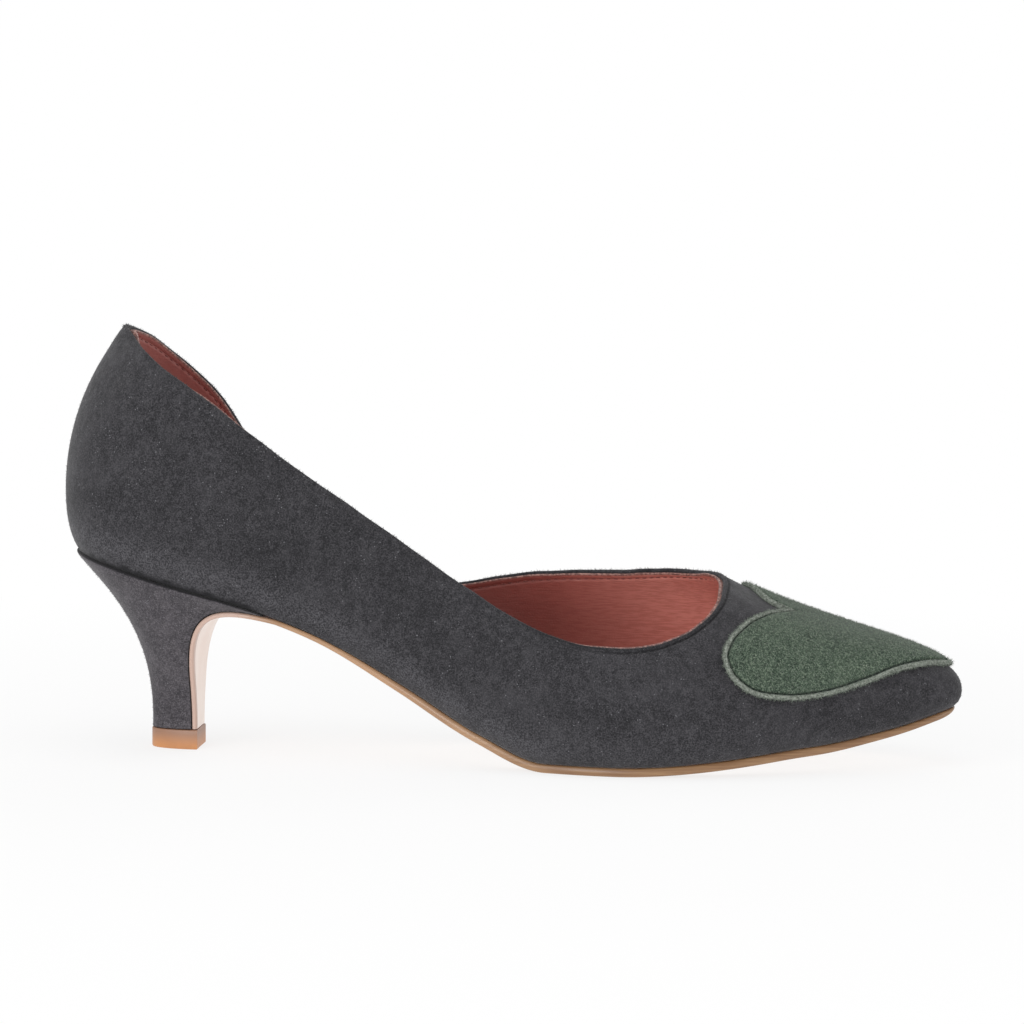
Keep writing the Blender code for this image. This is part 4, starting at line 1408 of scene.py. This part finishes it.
def napTree():
    nodes, given = newTree("raisedNap", {
        "Suede": ("Geometry", None),
        "Density": ("Float", 5.0e6),
        "Fibre Length": ("Float", 0.0008),
        "Fibre Width": ("Float", 0.00015),
        "Lean": ("Float", 0.9),
        "Seed": ("Int", 5),
        "Fibre": ("Material", None),
    }, "Nap")
    seed = given["Seed"]
    thick = nodes.node("GeometryNodeInputNamedAttribute", {"Name": "fuzz"}, data_type="FLOAT").outputs[0]
    density = nodes.node("ShaderNodeMath", {0: given["Density"], 1: thick}, operation="MULTIPLY")
    settings = {"Mesh": given["Suede"], "Density": density.outputs[0], "Seed": seed}
    spots = nodes.node("GeometryNodeDistributePointsOnFaces", settings)
    settings = {0: (-1.0, -1.0, -1.0), 1: (1.0, 1.0, 1.0), "Seed": seed}
    sway = nodes.node("FunctionNodeRandomValue", settings, data_type="FLOAT_VECTOR")
    settings = {0: sway.outputs[0], "Scale": given["Lean"]}
    leaning = nodes.node("ShaderNodeVectorMath", settings, operation="SCALE")
    settings = {0: spots.outputs["Normal"], 1: leaning.outputs[0]}
    direction = nodes.node("ShaderNodeVectorMath", settings, operation="ADD")
    turned = nodes.node("FunctionNodeAlignRotationToVector", {"Vector": direction.outputs[0]}, axis="Z")
    radius = nodes.node("ShaderNodeMath", {0: given["Fibre Width"], 1: 0.5}, operation="MULTIPLY")
    settings = {"Vertices": 3, "Radius Bottom": radius.outputs[0], "Depth": given["Fibre Length"]}
    hair = nodes.node("GeometryNodeMeshCone", settings)
    size = nodes.node("FunctionNodeRandomValue", {2: 0.30, 3: 1.0, "Seed": seed}, data_type="FLOAT")
    longer = nodes.node("ShaderNodeMapRange", {"Value": thick, "To Min": 0.6, "To Max": 1.0})
    settings = {0: size.outputs[1], 1: longer.outputs["Result"]}
    scale = nodes.node("ShaderNodeMath", settings, operation="MULTIPLY")
    points = spots.outputs["Points"]
    grown = copiesOn(nodes, points, hair.outputs["Mesh"], turned.outputs[0], scale.outputs[0])
    return endTree(nodes, grown, given["Fibre"])


raisedNap = napTree()
upperFibres = {"Fibre Length": 0.00075, "Fibre": greyFibre}
heelFibres = {"Density": 1.0e7, "Fibre Width": 0.00014, "Fibre": greyFibre}
heartFibres = {"Density": 9.0e6, "Fibre Length": 0.0011, "Fibre Width": 0.00016, "Fibre": greenFibre}
fromTree("upperNap", upperPiece.data, raisedNap, "suede", upperFibres)
fromTree("heelNap", heelPiece.data, raisedNap, "heel_suede", heelFibres)
fromTree("heartNap", heartPiece.data, raisedNap, "green_suede", heartFibres)
print("nap raised")

# Studio: pale floor that fades to white, soft light, and the photograph's camera

studio = {
    "surround": 0.52,
    "floorRadius": 6.0,
    "floorGlow": 0.78,
    "floorColour": (0.93, 0.93, 0.93, 1.0),
    "lit": (0.0, 0.0, 0.04),
    "fadeFrom": 0.14,
    "fadeTo": 0.40,
}
lamps = (  # name, place, power in watts, size
    ("keyLight", (-1.0, -1.2, 0.70), 6.0, 1.0),
    ("lowLight", (-0.45, -1.3, 0.12), 6.0, 0.5),
    ("topLight", (-0.1, -0.2, 1.40), 7.0, 1.2),
    ("toeLight", (1.3, -0.25, 0.25), 1.8, 0.5),
    ("backLight", (0.3, 1.3, 0.60), 4.0, 1.2),
)
view = {
    "azimuth": 5.5,
    "elevation": 5.5,
    "distance": 1.15,
    "roll": 0.5,
    "aim": (0.12615, 0.0, 0.06809),
    "lens": 144.77,
    "sensor": 36.0,
}


def makeFloor():
    mesh = bpy.data.meshes.new("floor")
    work = bmesh.new()
    bmesh.ops.create_circle(work, cap_ends=True, segments=96, radius=studio["floorRadius"])
    work.to_mesh(mesh)
    work.free()
    floor = placed("floor", mesh)
    material = bpy.data.materials.new("paleFloor")
    material.use_nodes = True
    material.node_tree.nodes.clear()
    nodes = Nodes(material.node_tree)
    place = nodes.node("ShaderNodeTexCoord").outputs["Object"]
    away = nodes.node("ShaderNodeVectorMath", {0: place}, operation="LENGTH").outputs["Value"]
    settings = {"Value": away, "From Min": studio["fadeFrom"], "From Max": studio["fadeTo"]}
    settings["To Min"] = studio["floorGlow"]
    fade = nodes.node("ShaderNodeMapRange", settings, interpolation_type="SMOOTHSTEP")
    matt = nodes.node("ShaderNodeBsdfDiffuse", {"Color": studio["floorColour"]})
    glow = nodes.node("ShaderNodeEmission", {"Strength": 1.0})
    settings = {0: fade.outputs["Result"], 1: matt.outputs[0], 2: glow.outputs[0]}
    mixed = nodes.node("ShaderNodeMixShader", settings)
    nodes.node("ShaderNodeOutputMaterial", {"Surface": mixed.outputs[0]})
    mesh.materials.append(material)


def makeLight(name, place, power, size):
    light = bpy.data.lights.new(name, "AREA")
    light.energy = power
    light.size = size
    lamp = placed(name, light)
    lamp.location = place
    lamp.rotation_euler = (Vector(studio["lit"]) - Vector(place)).to_track_quat("-Z", "Y").to_euler()


def makeCamera():
    azimuth = math.radians(view["azimuth"])
    elevation = math.radians(view["elevation"])
    roll = math.radians(view["roll"])
    level = math.cos(elevation)
    back = Vector((math.sin(azimuth) * level, -math.cos(azimuth) * level, math.sin(elevation)))
    right = (-back).cross(Vector((0, 0, 1))).normalized()
    up = right.cross(-back)
    right, up = right * math.cos(roll) + up * math.sin(roll), up * math.cos(roll) - right * math.sin(roll)
    data = bpy.data.cameras.new("camera")
    data.lens = view["lens"]
    data.sensor_width = view["sensor"]
    camera = placed("camera", data)
    place = Vector(view["aim"]) + Vector(lastShift) + back * view["distance"]
    camera.matrix_world = Matrix.Translation(place) @ Matrix((right, up, back)).transposed().to_4x4()
    bpy.context.scene.camera = camera


def makeWorld():  # a dim surround lights the shoe, and the camera sees plain white
    world = bpy.data.worlds.new("studio")
    world.use_nodes = True
    nodes = Nodes(world.node_tree)
    white = (1.0, 1.0, 1.0, 1.0)
    surround = world.node_tree.nodes["Background"]
    surround.inputs["Color"].default_value = white
    surround.inputs["Strength"].default_value = studio["surround"]
    backdrop = nodes.node("ShaderNodeBackground", {"Color": white})
    seen = nodes.node("ShaderNodeLightPath").outputs["Is Camera Ray"]
    chosen = nodes.node("ShaderNodeMixShader", {0: seen, 1: surround.outputs[0], 2: backdrop.outputs[0]})
    nodes.plug(chosen.outputs[0], world.node_tree.nodes["World Output"].inputs["Surface"])
    bpy.context.scene.world = world
    bpy.context.scene.view_settings.view_transform = "Standard"
    bpy.context.scene.view_settings.look = "None"


makeFloor()
for lamp in lamps:
    makeLight(*lamp)
makeWorld()
makeCamera()
print("studio made")
